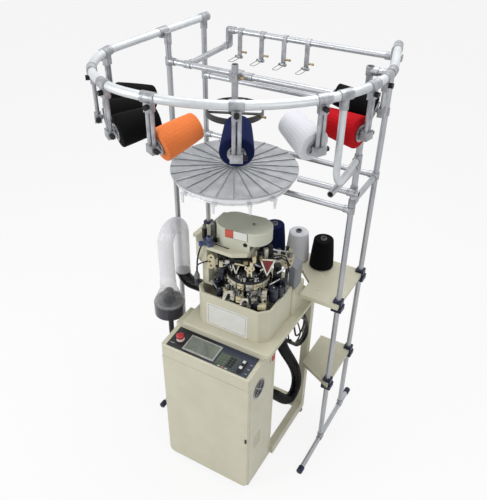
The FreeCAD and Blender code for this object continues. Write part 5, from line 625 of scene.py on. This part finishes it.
# ---- the bare name plate on the pot, with a thin dark line inside its edge
on_pot = place(39, -348, 999) @ spin(90, "X")
bm = bmesh.new()
prism(bm, on_pot, rounded_outline(230, 138, 10), 0.2, 1.4)
mesh_piece("name_plate", bm, "white_enamel", bevel=0.3)
bm = bmesh.new()
outer, inner = rounded_outline(212, 120, 8), rounded_outline(208, 116, 6.5)
rings = [[bm.verts.new(on_pot @ Vector((x, y, z))) for x, y in line]
         for line, z in ((outer, 1.2), (outer, 1.6), (inner, 1.6), (inner, 1.2))]
for low, high in zip(rings, rings[1:] + rings[:1]):
    sew(bm, low, high)
mesh_piece("name_plate_line", bm, "plate_line")

# ---- printed label on the cover's flat front side: a red and a white field in a dark frame
on_cover = place(-18.7, -254.9, 1433.5, degrees(atan2(12, 106))) @ spin(90, "X")
for name, wide, high, middle_x, low, top, finish, slot in (
        ("cover_label_frame", 112, 44, 51, 0.1, 0.8, "label_border", "black_plastic"),
        ("cover_label_red", 38, 41, 15.5, 0.8, 1.1, "label_red", "switch_red"),
        ("cover_label_white", 68, 41, 70.5, 0.8, 1.1, "white_enamel", "key_white")):
    bm = bmesh.new()
    prism(bm, on_cover, [(x + middle_x, y) for x, y in rounded_outline(wide, high, 1.5, 3)], low, top)
    mesh_piece(name, bm, finish)


# ---- needles and repeated screws
def repeat_round(name, pattern, count, radius, z, body="machine"):
    """The pattern repeated round the needle cylinder's axis by a node tree, as one plain steel mesh."""
    finish = "bright_steel"
    bmesh.ops.recalc_face_normals(pattern, faces=pattern.faces)
    holder = show(name, as_mesh(name, pattern))
    tree = bpy.data.node_groups.new(name + "_round", "GeometryNodeTree")
    for way in ("INPUT", "OUTPUT"):
        tree.interface.new_socket("Geometry", in_out=way, socket_type="NodeSocketGeometry")
    given = add_node(tree, "NodeGroupInput")
    circle = add_node(tree, "GeometryNodeMeshCircle", values={"Vertices": count, "Radius": radius * MM})
    where = add_node(tree, "GeometryNodeInputPosition")
    outward = add_node(tree, "FunctionNodeAlignRotationToVector", {"axis": "X", "pivot_axis": "Z"},
                       links={"Vector": where})
    copies = add_node(tree, "GeometryNodeInstanceOnPoints",
                      links={"Points": circle, "Instance": given, "Rotation": outward})
    moved = add_node(tree, "GeometryNodeTransform", {}, {"Translation": at(*HEAD, z)}, {"Geometry": copies})
    real = add_node(tree, "GeometryNodeRealizeInstances", links={0: moved})
    painted = add_node(tree, "GeometryNodeSetMaterial", {}, {"Material": FINISH[finish]}, {0: real})
    add_node(tree, "NodeGroupOutput", links={0: painted})
    repeated = holder.modifiers.new("round", "NODES")
    repeated.node_group = tree
    ready = holder.evaluated_get(bpy.context.evaluated_depsgraph_get())
    plain = bpy.data.meshes.new_from_object(ready)
    bm = bmesh.new()
    bm.from_mesh(plain)
    bpy.data.objects.remove(holder)
    mesh_piece(name, bm, finish, body)


small = Matrix.Scale(MM, 4)
needle, screw = bmesh.new(), bmesh.new()
bent_rod(needle, small, [(0, 0, 0), (0, 0, 15), (0.4, 0, 17), (1.6, 0, 17.6), (2, 0, 16.2)], 0.75, 5, 1)
block(needle, small @ Matrix.Translation((2.2, 0, 4)), 3.2, 0.9, 2.4)
repeat_round("knitting_needles", needle, 72, 47.5, 1184, "cylinder")
cap_screw(screw, small, 3.6)
repeat_round("cam_ring_screws", screw, 20, 109, 1147.2)


# ---- the open head's feeders
# The small parts of one finish are gathered in one mesh, which becomes a piece with this name; each row
# also lists a material slot.
SMALL = {
    "block_aluminium": ("feeder_blocks", "block_aluminium"),
    "cream_block": ("cream_feeder_blocks", "cream_paint"),
    "black_steel": ("feeder_levers", "cam_steel"),
    "bright_steel": ("feeder_springs_and_pins", "head_steel"),
    "white_metal": ("yarn_guides", "block_aluminium"), "red_enamel": ("red_guide_plate", "switch_red"),
    "valve_navy": ("coil_housings", "navy_plastic"), "olive_brass": ("olive_fittings", "brass"),
    "grey_block": ("grey_castings", "cast_fitting"),
    "black_rubber": ("head_tubes_and_cables", "hose_rubber"),
    "valve_blue": ("air_valve", "navy_plastic"), "blue_knob": ("air_valve_knob", "navy_plastic"),
}
PARTS = {finish: bmesh.new() for finish in SMALL}
MILLED, CREAM, BLACK, BRIGHT, WHITE, RED, NAVY, OLIVE, GREY, RUBBER, SLATE, BLUE = PARTS.values()
CAM_TOP = 1147.4
CAP_TOP = 1228.2
POT_FLOOR = 1104
ARM_TOP = 1358.3
FRONT = -61.5     # the turn towards the photo's camera
LEVER_TURN = 28


def link(bm, spot, start, end, wide, thick):
    """Flat lever with round ends between two points of the frame's X and Z, so thick along its Y."""
    a, b = Vector(start), Vector(end)
    base = atan2(b.y - a.y, b.x - a.x)
    outline = [(p.x + wide / 2 * cos(first + pi * step / 5), p.y + wide / 2 * sin(first + pi * step / 5))
               for p, first in ((b, base - pi / 2), (a, base + pi / 2)) for step in range(6)]
    prism(bm, spot @ spin(90, "X"), outline, -thick / 2, thick / 2)


def lever_station(angle, radius, z, tall, hand, trim):
    """Pivot block with its levers, spring, pin and screws."""
    spot = round_head(angle, radius, z)
    block(MILLED, spot, 22, 17, 15, 3)
    block(trim, shifted(spot, 4, 11 * hand, 0), 13, 7, 23 * tall, 2)
    cap_screw(BLACK, shifted(spot, -4, -3 * hand, 15), 3.6)
    lower = shifted(spot, 0, 4 * hand, 0)
    link(BLACK, lower, (-10, 13), (14, 22 * tall), 11, 4)
    link(BLACK, lower, (14, 22 * tall), (10, 40 * tall), 9, 4)
    upper = shifted(spot, 0, -5 * hand, 0)
    link(BRIGHT, upper, (8, 17), (-14, 34 * tall), 7, 3)
    link(BLACK, shifted(upper, 0, -3 * hand, 0), (-14, 34 * tall), (6, 40 * tall), 8, 3)
    boss(BRIGHT, shifted(spot, 14, 7 * hand, 22 * tall) @ spin(-90 * hand, "X"), 4.2, 3)
    rod(BRIGHT, (8, -11, 17), (8, 11, 17), 2.4, 10, spot)
    spring, length = strut(spot, (11, -3 * hand, 10), (9, -2 * hand, 38 * tall))
    coil(BRIGHT, spring, 3, 0.8, length, 7)


def v_guide(spot, wide, tall, thick, closed=False):
    """Three-cornered guide standing on its point, facing along the frame's X."""
    bar = 6
    half, inside = wide / 2, wide / 2 - bar * 1.3
    upright_plate(WHITE, spot, [(0, 0), (half, tall), (inside, tall), (0, bar * 2.6), (-inside, tall),
                                (-half, tall)], thick)
    if closed:
        lintel = [(-half, 0), (half, 0), (half, bar), (-half, bar)]
        upright_plate(WHITE, shifted(spot, 0, 0, tall - bar), lintel, thick)
    boss(BLACK, facing(spot, -4, 0, 3), 5, 9, 12)


def housing(x, y, wide, deep, high, turn, finish=BLACK, lean=0):
    """Housing on the pot's floor with a lid line and two screws on its front."""
    spot = place(x, y, POT_FLOOR, turn, lean)
    block(finish, spot, wide, deep, high * 0.72, 3)
    block(finish, shifted(spot, 0, 0, high * 0.74), wide - 2, deep - 2, high * 0.26, 3)
    for side in (-1, 1):
        cap_screw(BRIGHT, facing(spot, wide / 2, side * deep * 0.28, high * 0.5), 3)


# Stations on the cam plate, the dark drum above them and the cap plate with its hanging blocks.
for number, angle in enumerate((-160, -134, -108, -82, -56, -30, -4, 22, 48, 76, 104, 132, 158)):
    trim = (CREAM, WHITE, BLACK)[number % 3]
    lever_station(angle, 103, CAM_TOP, 0.8 + 0.1 * (number % 3), 1 if number % 2 else -1, trim)
cap = round_head(0, 0, 0)
turned(BLACK, cap, [(68, 1175.5), (80, 1175.5), (84, 1180), (84, 1214), (68, 1214)], 64)
turned(BLACK, cap, [(60, 1214), (101, 1214), (105, 1217), (105, 1225), (101, 1228), (62, 1228),
                    (60, 1226)], 72)
turned(BRIGHT, cap, [(60, CAP_TOP), (66, CAP_TOP), (66, 1232), (64, 1233), (60, 1233)], 64)
for number, angle in enumerate((-164, -137, -110, -84, -58, -34, -8, 24, 54, 84, 114, 146)):
    kind = (MILLED, CREAM, WHITE, CREAM)[number % 4]
    wide = (34, 44, 38, 30)[number % 4]
    hang = round_head(angle, 94, 1178 + 3 * (number % 2))
    block(kind, hang, 17, wide, 35 - 3 * (number % 2), 3)
    block(BLACK, shifted(hang, 8.8, 0, 17), 1.2, wide * 0.94, 2.2)
    boss(BLACK, facing(hang, 8.4, wide * 0.22, 9), 3.4, 3, 12)
    boss(BRIGHT, facing(hang, 8.4, -wide * 0.22, 25), 2.8, 3, 12)

# Guides that stand on the cap towards the front.
v_guide(round_head(-113, 76, CAP_TOP, FRONT + 113, -20), 50, 68, 4)
v_guide(round_head(-134, 84, CAP_TOP, FRONT + 134, -14), 30, 50, 4)
block(WHITE, round_head(-120, 62, 1286, FRONT + 120), 20, 30, 20, 2)
block(BLACK, round_head(-120, 62, 1278, FRONT + 120), 14, 22, 8)
triangle = place(185, -224, 1238, FRONT - 4, -16)
v_guide(triangle, 76, 88, 4.5, True)
upright_plate(RED, shifted(triangle, -0.5, 0, 0), [(0, 16), (26, 81), (-26, 81)], 2.5)
star = round_head(-58, 74, 1240, FRONT + 58, -18)
upright_plate(CREAM, star, [
    (-11, 0), (-5, 0), (-4, 16), (5, 16), (7, 0), (14, 0), (12, 26), (24, 36), (22, 52), (10, 46), (2, 52),
    (-8, 46), (-20, 55), (-24, 38), (-12, 26)], 5)
for y, z in ((-14, 42), (14, 40), (0, 30)):
    boss(BLACK, facing(star, 2.5, y, z), 3, 2.5, 12)
for angle, radius, tall, hand in (
        (-178, 84, 0.9, 1), (-160, 88, 0.8, -1), (-146, 78, 1, 1), (-90, 80, 0.55, 1), (-74, 90, 0.35, -1),
        (-40, 92, 0.3, 1), (18, 84, 1.1, -1), (36, 84, 1.2, 1), (56, 82, 1.1, -1), (84, 84, 1, 1),
        (112, 84, 1.2, -1), (142, 82, 1.1, 1)):
    lever_station(angle, radius, CAP_TOP, tall, hand, BLACK if hand > 0 else CREAM)

# Bright and cream keys in front of the cam plate.
for angle, finish, wide, tall in (
        (-124, CREAM, 20, 32), (-98, MILLED, 24, 42), (-80, CREAM, 36, 30), (-48, MILLED, 30, 28),
        (-26, WHITE, 22, 36), (6, MILLED, 24, 32), (30, CREAM, 24, 30)):
    key = round_head(angle, 123, 1121)
    block(finish, key, 13, wide, tall, 2)
    block(BLACK, shifted(key, 6.6, 0, tall * 0.45), 1.2, wide * 0.9, 2.5)
    cap_screw(BLACK, shifted(key, 0, wide * 0.25, tall), 3.2)
    cap_screw(BRIGHT, shifted(key, 0, -wide * 0.25, tall), 3.2)

# Bent arms that reach down to the pot's rim in front, with their black levers.
for angle, size in ((-104, 1.4), (-68, 1)):
    arm = round_head(angle, 134, 1116, FRONT - angle)
    outline = [(-18, 30), (-12, 40), (10, 42), (17, 38), (18, 8), (11, 6), (9, 30), (-4, 31), (-9, 16),
               (-16, 0), (-23, 2)]
    upright_plate(WHITE, arm, [(y * size, z * size) for y, z in outline], 6)
    bent_rod(BLACK, arm, [(-2, 24, 2), (0, 28, 20), (-8, 22, 40), (-24, 8, 50)], 2.8)
    link(BLACK, shifted(arm, 0, 24, 0), (-4, 4), (6, 26), 10, 4)

# Square column with dark joints at the right of the front, and the dark drums beside it.
column = place(192, -258, 1100, FRONT)
block(WHITE, column, 24, 24, 74, 2)
for z in (24, 48, 66):
    block(BLACK, shifted(column, 0, 0, z), 25.2, 25.2, 2.6)
block(CREAM, place(196, -287, 1098, FRONT), 30, 40, 18, 3)
for x, y, low, high, radius in (
        (219, -212, POT_FLOOR, 1178, 22), (236, -176, POT_FLOOR, 1168, 17), (168, -292, 1100, 1132, 14),
        (-62, -268, POT_FLOOR, 1156, 18), (-26, -306, 1100, 1140, 14)):
    drum = place(x, y, low)
    tall = high - low
    turned(NAVY, drum, [
        (0, 0), (radius, 0), (radius, tall * 0.55), (radius - 2, tall * 0.58), (radius - 2, tall * 0.62),
        (radius, tall * 0.65), (radius, tall - 3), (radius - 3, tall), (0, tall)], 28)
    cap_screw(BRIGHT, shifted(drum, 0, 0, tall), 4.5)

# Dark housings at both sides of the cam box.
housing(-58, -246, 30, 40, 104, FRONT - 25, NAVY, -10)
housing(-40, -206, 34, 36, 128, -170)
housing(-22, -160, 30, 34, 120, 150)
housing(206, -150, 34, 38, 120, 25)
housing(184, -108, 32, 36, 132, 50)
housing(236, -140, 26, 30, 84, 10, NAVY)
for start, end, wide in (
        ((-76, -300, 1170), (-30, -300, 1112), 3.2), ((-58, -262, 1224), (-16, -214, 1236), 4),
        ((-70, -236, 1222), (-44, -176, 1246), 3.4), ((210, -168, 1232), (236, -120, 1250), 4),
        ((196, -214, 1190), (226, -168, 1206), 4)):
    rod(BRIGHT, start, end, wide)

# Cream plate with three holes at the arm's left, and the levers behind it.
three = place(-82, -292, 1234, FRONT, -6)
upright_plate(CREAM, three, [(-14, 0), (4, -4), (16, 6), (20, 40), (16, 66), (2, 78), (-14, 70),
                             (-20, 44)], 7)
for y, z in ((1, 60), (-5, 37), (0, 15)):
    boss(BLACK, facing(three, 3.2, y, z), 4.6, 1.6, 16)
link(BLACK, place(-56, -276, 1240, FRONT + 90), (0, 0), (34, 22), 12, 8)
link(BLACK, place(-50, -262, 1270, FRONT + 90), (0, 0), (40, -10), 12, 8)
link(BRIGHT, place(-52, -270, 1262, FRONT + 90), (0, 8), (26, 14), 6, 5)

# Dark blocks and levers that hang below the arm's front edge.
for x, y, low, wide, deep, high, finish in (
        (-38, -268, 1256, 26, 34, 62, BLACK), (-10, -268, 1276, 24, 30, 42, BLACK),
        (20, -264, 1290, 24, 34, 29, BLACK), (50, -262, 1296, 26, 36, 24, BLACK),
        (82, -250, 1284, 24, 30, 36, BLACK), (104, -236, 1272, 26, 34, 44, BLACK),
        (-26, -290, 1262, 12, 18, 30, CREAM), (6, -286, 1292, 10, 22, 16, MILLED),
        (92, -262, 1300, 12, 20, 18, OLIVE), (116, -250, 1288, 12, 16, 22, CREAM)):
    block(finish, place(x, y, low, FRONT), wide, deep, high, 3)
for x, y, z, reach, rise, finish, wide in (
        (-52, -290, 1256, 40, -14, BLACK, 10), (-22, -292, 1290, 36, -12, BRIGHT, 6),
        (10, -286, 1282, 34, 14, BLACK, 9), (48, -282, 1300, 40, -8, CREAM, 7),
        (90, -262, 1274, 30, 16, WHITE, 7)):
    link(finish, place(x, y, z, LEVER_TURN), (0, 0), (reach, rise), wide, 5)

# Yarn changer under the arm's right end: hanging blocks, levers and the carrier plate on its post.
for x, y, low, wide, deep, high, finish in (
        (104, -222, 1290, 18, 22, 31, BLACK), (122, -236, 1306, 14, 16, 30, CREAM),
        (132, -196, 1284, 22, 26, 70, BLACK), (148, -172, 1296, 16, 20, 60, WHITE),
        (156, -144, 1290, 20, 24, 68, BLACK), (96, -118, 1284, 26, 26, 36, BLACK),
        (146, -214, 1312, 12, 14, 26, OLIVE)):
    block(finish, place(x, y, low, FRONT + 20), wide, deep, high, 2)
for x, y, z, reach, rise, finish, wide in (
        (116, -232, 1296, 30, -16, BRIGHT, 8), (134, -214, 1290, 40, -8, BLACK, 12),
        (150, -200, 1276, 44, 10, BLACK, 10), (160, -176, 1300, 50, -6, BRIGHT, 8),
        (164, -150, 1282, 52, 14, BLACK, 12), (172, -130, 1310, 44, -12, WHITE, 8),
        (150, -222, 1262, 34, 22, WHITE, 7)):
    lever = place(x, y, z, LEVER_TURN)
    link(finish, lever, (0, 0), (reach, rise), wide, 5)
    boss(BRIGHT, shifted(lever, reach, -2.5, rise) @ spin(90, "X"), wide * 0.4, 2, 12)
post = place(226, -76, 1087.2)
turned(BRIGHT, post, [(0, 0), (9, 0), (9, 12), (6, 14), (6, 226), (0, 226)], 16)
block(GREY, shifted(post, 0, 0, 196, -30), 34, 22, 22, 3)
carrier = place(226, -92, 1226, FRONT, -12)
upright_plate(CREAM, carrier, [(-20, 6), (-6, -6), (16, 0), (26, 20), (30, 62), (18, 92), (6, 100), (0, 84),
                               (-12, 78), (-16, 50), (-26, 30)], 5)
for y, z, radius in ((12, 14, 5), (16, 34, 3.6), (8, 56, 4.6), (12, 78, 3.2), (-10, 24, 3.6)):
    boss(BLACK, facing(carrier, 2.4, y, z), radius, 2, 14)
for start, end, wide in (
        ((236, -84, 1312), (150, -128, 1326), 4.5), ((230, -70, 1296), (146, -104, 1312), 4),
        ((240, -96, 1282), (168, -152, 1300), 3.2)):
    rod(BRIGHT, start, end, wide)
for x, y, z, finish in (
        (206, -96, 1300, BLACK), (188, -112, 1306, WHITE), (212, -70, 1312, BLACK),
        (178, -90, 1300, BLACK)):
    block(finish, place(x, y, z, LEVER_TURN), 16, 12, 18, 2)

# Cables that arch over the right side, and the tubes of the air valve at the left.
for radius, *points in (
        (3.6, (150, -190, 1270), (190, -170, 1330), (230, -130, 1320), (244, -104, 1250)),
        (3.2, (160, -170, 1262), (196, -150, 1312), (236, -120, 1290), (246, -112, 1220)),
        (3, (30, -270, 1290), (60, -250, 1316), (90, -262, 1290), (100, -250, 1256)),
        (3, (-30, -268, 1260), (-10, -250, 1306), (26, -250, 1300), (40, -240, 1250)),
        (4.2, (-118, -318, 1362), (-130, -322, 1320), (-150, -306, 1262), (-160, -294, 1216),
         (-162, -294, 1184)),
        (3.4, (-92, -300, 1276), (-128, -322, 1262), (-152, -310, 1230), (-160, -298, 1184))):
    bent_rod(RUBBER, WHOLE, points, radius, 8, 8)

# Air valve on the arm's left end, its knob, clamp and the filter that hangs beside the pot.
valve = place(-98, -282, ARM_TOP, -25)
block(SLATE, valve, 50, 34, 26, 5)
boss(SLATE, shifted(valve, 6, 0, 26), 15, 22, 24)
boss(SLATE, shifted(valve, -22, -4, 11) @ spin(-90, "Y"), 9, 14, 20)
knob = place(-122, -312, 1360, -25)
turned(BLUE, knob, [(0, 0), (9, 0), (11, 3), (11, 9), (9, 11), (11, 13), (11, 19), (8, 22), (0, 22)], 20)
clamp = place(-142, -246, ARM_TOP, -25)
block(BLACK, clamp, 20, 18, 56, 3)
block(GREY, shifted(clamp, 2, 0, 58), 15, 14, 20, 3)
bracket = place(-116, -206, ARM_TOP, 6)
block(GREY, bracket, 22, 26, 62, 3)
turned(GREY, shifted(bracket, 0, 0, 62), [(0, 0), (13, 0), (13, 10), (9, 16), (0, 16)], 20)
cap_screw(BRIGHT, shifted(bracket, 0, 0, 78), 4)
block(BLACK, place(-84, -246, ARM_TOP, 20), 20, 16, 20, 2)
rod(BLACK, (-74, -266, 1360), (4, -268, 1360), 2.2, 8)
filter_bowl = place(-163, -294, 1112)
turned(NAVY, filter_bowl, [(0, 0), (8, 0), (12, 5), (13, 14), (13, 34), (0, 34)])
turned(GREY, filter_bowl, [(0, 34.2), (13.5, 34.2), (14, 40), (14, 50), (11, 60), (7, 68), (6, 74),
                           (0, 74)])
rod(NAVY, (-152, -292, 1128), (-147.8, -286, 1122), 5)

# Olive fitting behind the cover, the screw on the cover's top and the rubber ring on its front.
fitting = place(86, -68, 1340)
turned(OLIVE, fitting, [(0, 0), (7, 0), (7, 78), (10, 82), (10, 92), (5, 98), (5, 106), (0, 106)], 16)
block(OLIVE, shifted(fitting, -14, 4, 92), 24, 12, 9, 2)
cap_screw(GREY, place(75, -161, 1456.1), 7)
turned(RUBBER, place(77, -244.1, 1392, 6.5) @ spin(90, "X"),
       [(5.2, 0.2), (10.5, 0.2), (10.5, 1.6), (9.5, 2.6), (5.2, 2.6)])

# ---- the ribbed suction hose, and the loose cables that hang beside the wiring loom
HOSE_WAY = ((266, -200, 904), (266, -194, 826), (266, -126, 708), (267, -38, 570), (267, 36, 436),
            (267, 70, 326), (266, 58, 246), (262, -10, 222), (250, -94, 310), (238, -178, 428),
            (232, -226, 466), (232, -262, 470))
HOSE_R = 28.5
HOSE_RIB = 0.6
HOSE_PITCH = 7


def smooth_way(points, apart):
    """Points every so many millimetres along a cubic B-spline that starts and ends at the outer points."""
    line = [Vector(p) for p in points]
    line = [line[0] * 2 - line[1]] + line + [line[-1] * 2 - line[-2]]
    fine = []
    for a, b, c, d in zip(line, line[1:], line[2:], line[3:]):
        for t in [step / 40 for step in range(40)]:
            fine.append(a * ((1 - t) ** 3 / 6) + b * ((3 * t ** 3 - 6 * t ** 2 + 4) / 6)
                        + c * ((-3 * t ** 3 + 3 * t ** 2 + 3 * t + 1) / 6) + d * (t ** 3 / 6))
    fine.append(line[-2])
    spaced = [fine[0]]
    for point in fine[1:]:
        while (point - spaced[-1]).length >= apart:
            spaced.append(spaced[-1] + (point - spaced[-1]).normalized() * apart)
    return spaced


bm = bmesh.new()
way_down = smooth_way(HOSE_WAY, HOSE_PITCH / 4)
ribs = [HOSE_R + HOSE_RIB * cos(pi * k / 2) for k in range(len(way_down))]
skin_along(bm, WHOLE, way_down, Vector((1, 0, 0)), ribs, 28)
hose = mesh_piece("ribbed_suction_hose", bm, "hose_rubber")
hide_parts("suction_hose")

for radius, *points in (
        (7, (288, -40, 905), (290, 40, 830), (288, 90, 740), (286, 40, 690), (284, -60, 720),
         (284, -120, 800)),
        (5, (282, -20, 905), (284, 30, 850), (284, 60, 790), (282, 20, 740), (280, -40, 760),
         (280, -90, 905)),
        (4, (276, -60, 905), (278, -10, 820), (280, 30, 720), (276, -40, 700), (274, -110, 770),
         (272, -140, 905))):
    bent_rod(RUBBER, WHOLE, points, radius, 8, 8)

# ---- printed fields and keys on the sloping panel: X runs across, Y up the slope
FIELD_AT = 3.05
KEY_AT = 3.35
ON_PANEL = place(0, -535, 862, roll=degrees(atan2(16, 141)))
FILMS = {}


def film(finish, x, y, wide, high, low, thick, radius=1.5):
    """Thin printed field or membrane key on the panel, centred on x and y."""
    sheet = FILMS.setdefault(finish, bmesh.new())
    prism(sheet, shifted(ON_PANEL, x, y, 0), rounded_outline(wide, high, radius, 3), low, low + thick)


film("grey_field", 122, 55, 112, 92, FIELD_AT, 0.3, 4)
film("dark_field", 203, 57, 28, 84, FIELD_AT, 0.3, 9)
for column in range(3):
    for line in range(4):
        film("green_film", 78 + 17 * column, 30 + 18 * line, 14, 15, KEY_AT, 0.6)
for column in range(2):
    for line in range(4):
        film("dark_field", 134 + 17 * column, 34 + 16 * line, 13, 12, KEY_AT, 0.6)
for column in range(3):
    film("pink_mark" if column == 1 else "light_key", 96 + 20 * column, 15, 14, 7, KEY_AT, 0.5)
for line in range(3):
    film("light_key", 236, 30 + 29 * line, 12, 3, FIELD_AT, 0.25, 1)
film("light_key", -184, 34, 24, 3, FIELD_AT, 0.25, 1)
for finish, bm in FILMS.items():
    mesh_piece("panel_" + finish, bm, finish)

# ---- the insides of the jar
for name, finish, low, profile, steps in (
        ("jar_inner_tube", "smoked_tube", 866,
         [(0, 0), (31, 0), (31, 118), (28, 132), (20, 142), (10, 146), (0, 147)], 36),
        ("jar_inner_cup", "smoked_cup", 864.8,
         [(34, 0), (77, 0), (77, 52), (72, 63), (59, 70), (34, 74)], 48)):
    bm = bmesh.new()
    turned(bm, place(-338, -302, low), profile, steps)
    mesh_piece(name, bm, finish)

for finish, bm in PARTS.items():
    name, slot = SMALL[finish]
    mesh_piece(name, bm, finish, bevel=0 if finish == "black_rubber" else 0.45)


# ---- stage
def seen_directly(tree):
    """1 for camera, glossy and transmission rays, 0 for the rays that light things."""
    path = add_node(tree, "ShaderNodeLightPath")
    either = add_node(tree, "ShaderNodeMath", {"operation": "MAXIMUM"},
                      links={0: path.outputs["Is Camera Ray"], 1: path.outputs["Is Glossy Ray"]})
    return add_node(tree, "ShaderNodeMath", {"operation": "MAXIMUM"},
                    links={0: either, 1: path.outputs["Is Transmission Ray"]})


PAPER_GLOW = 0.86
FLOOR_HALF = 30


def floor_finish():
    """Pale seamless paper: white where it is looked at, grey under the machine's shadow."""
    material, tree = bare_material("pale_studio_floor")
    matt = add_node(tree, "ShaderNodeBsdfDiffuse", values={"Color": linear("e9e9e9")})
    glow = add_node(tree, "ShaderNodeEmission", values={"Color": linear("ffffff"), "Strength": 1})
    lit = add_node(tree, "ShaderNodeMixShader", {}, {0: PAPER_GLOW}, {1: matt, 2: glow})
    both = add_node(tree, "ShaderNodeMixShader", links={0: seen_directly(tree), 1: matt, 2: lit})
    add_node(tree, "ShaderNodeOutputMaterial", links={"Surface": both})
    return material


bm = bmesh.new()
bm.faces.new([bm.verts.new((x * FLOOR_HALF, y * FLOOR_HALF, -0.0005))
              for x, y in ((-1, -1), (1, -1), (1, 1), (-1, 1))])
paper = as_mesh("studio_floor", bm)
paper.materials.append(floor_finish())
sheet = show("studio_floor", paper)

AMBIENT = 0.45
world = bpy.data.worlds.new("studio_air")
bpy.context.scene.world = world
world.use_nodes = True
sky = world.node_tree
sky.nodes.clear()
level = add_node(sky, "ShaderNodeMapRange", values={"To Min": AMBIENT}, links={"Value": seen_directly(sky)})
air = add_node(sky, "ShaderNodeBackground", {}, {"Color": linear("ffffff")}, {"Strength": level})
add_node(sky, "ShaderNodeOutputWorld", links={"Surface": air})

# Square soft lamps that stand off a target in metres and are turned towards it.
TARGET = at(60, -100, 1100)
for name, offset, side, watts in (
        ("key_lamp", (-2.6, -3.6, 1.9), 2.2, 98), ("fill_lamp", (3.6, -2.2, 1.3), 2.4, 32),
        ("top_lamp", (0.3, 0.6, 3.4), 2.6, 82)):
    data = bpy.data.lights.new(name, "AREA")
    data.shape = "RECTANGLE"
    data.size = data.size_y = side
    data.energy = watts
    lamp = show(name, data)
    lamp.location = TARGET + Vector(offset)
    lamp.rotation_euler = (TARGET - lamp.location).to_track_quat("-Z", "Y").to_euler()

# ---- camera, fitted to the photo
CAMERA_TILT = 36.822
CAMERA_TURN = 30.735
camera_data = bpy.data.cameras.new("photo_camera")
camera_data.sensor_width = 36
camera_data.lens = 44.007
camera_data.shift_x = 0.02846
camera_data.shift_y = 0.04906
camera_data.clip_start = 0.05
camera_data.clip_end = 80
camera = show("photo_camera", camera_data)
camera.location = at(1201.6, -2278.7, 2963.9)
camera.rotation_euler = (radians(90 - CAMERA_TILT), 0, radians(CAMERA_TURN))
bpy.context.scene.camera = camera
bpy.context.scene.view_settings.view_transform = "Standard"
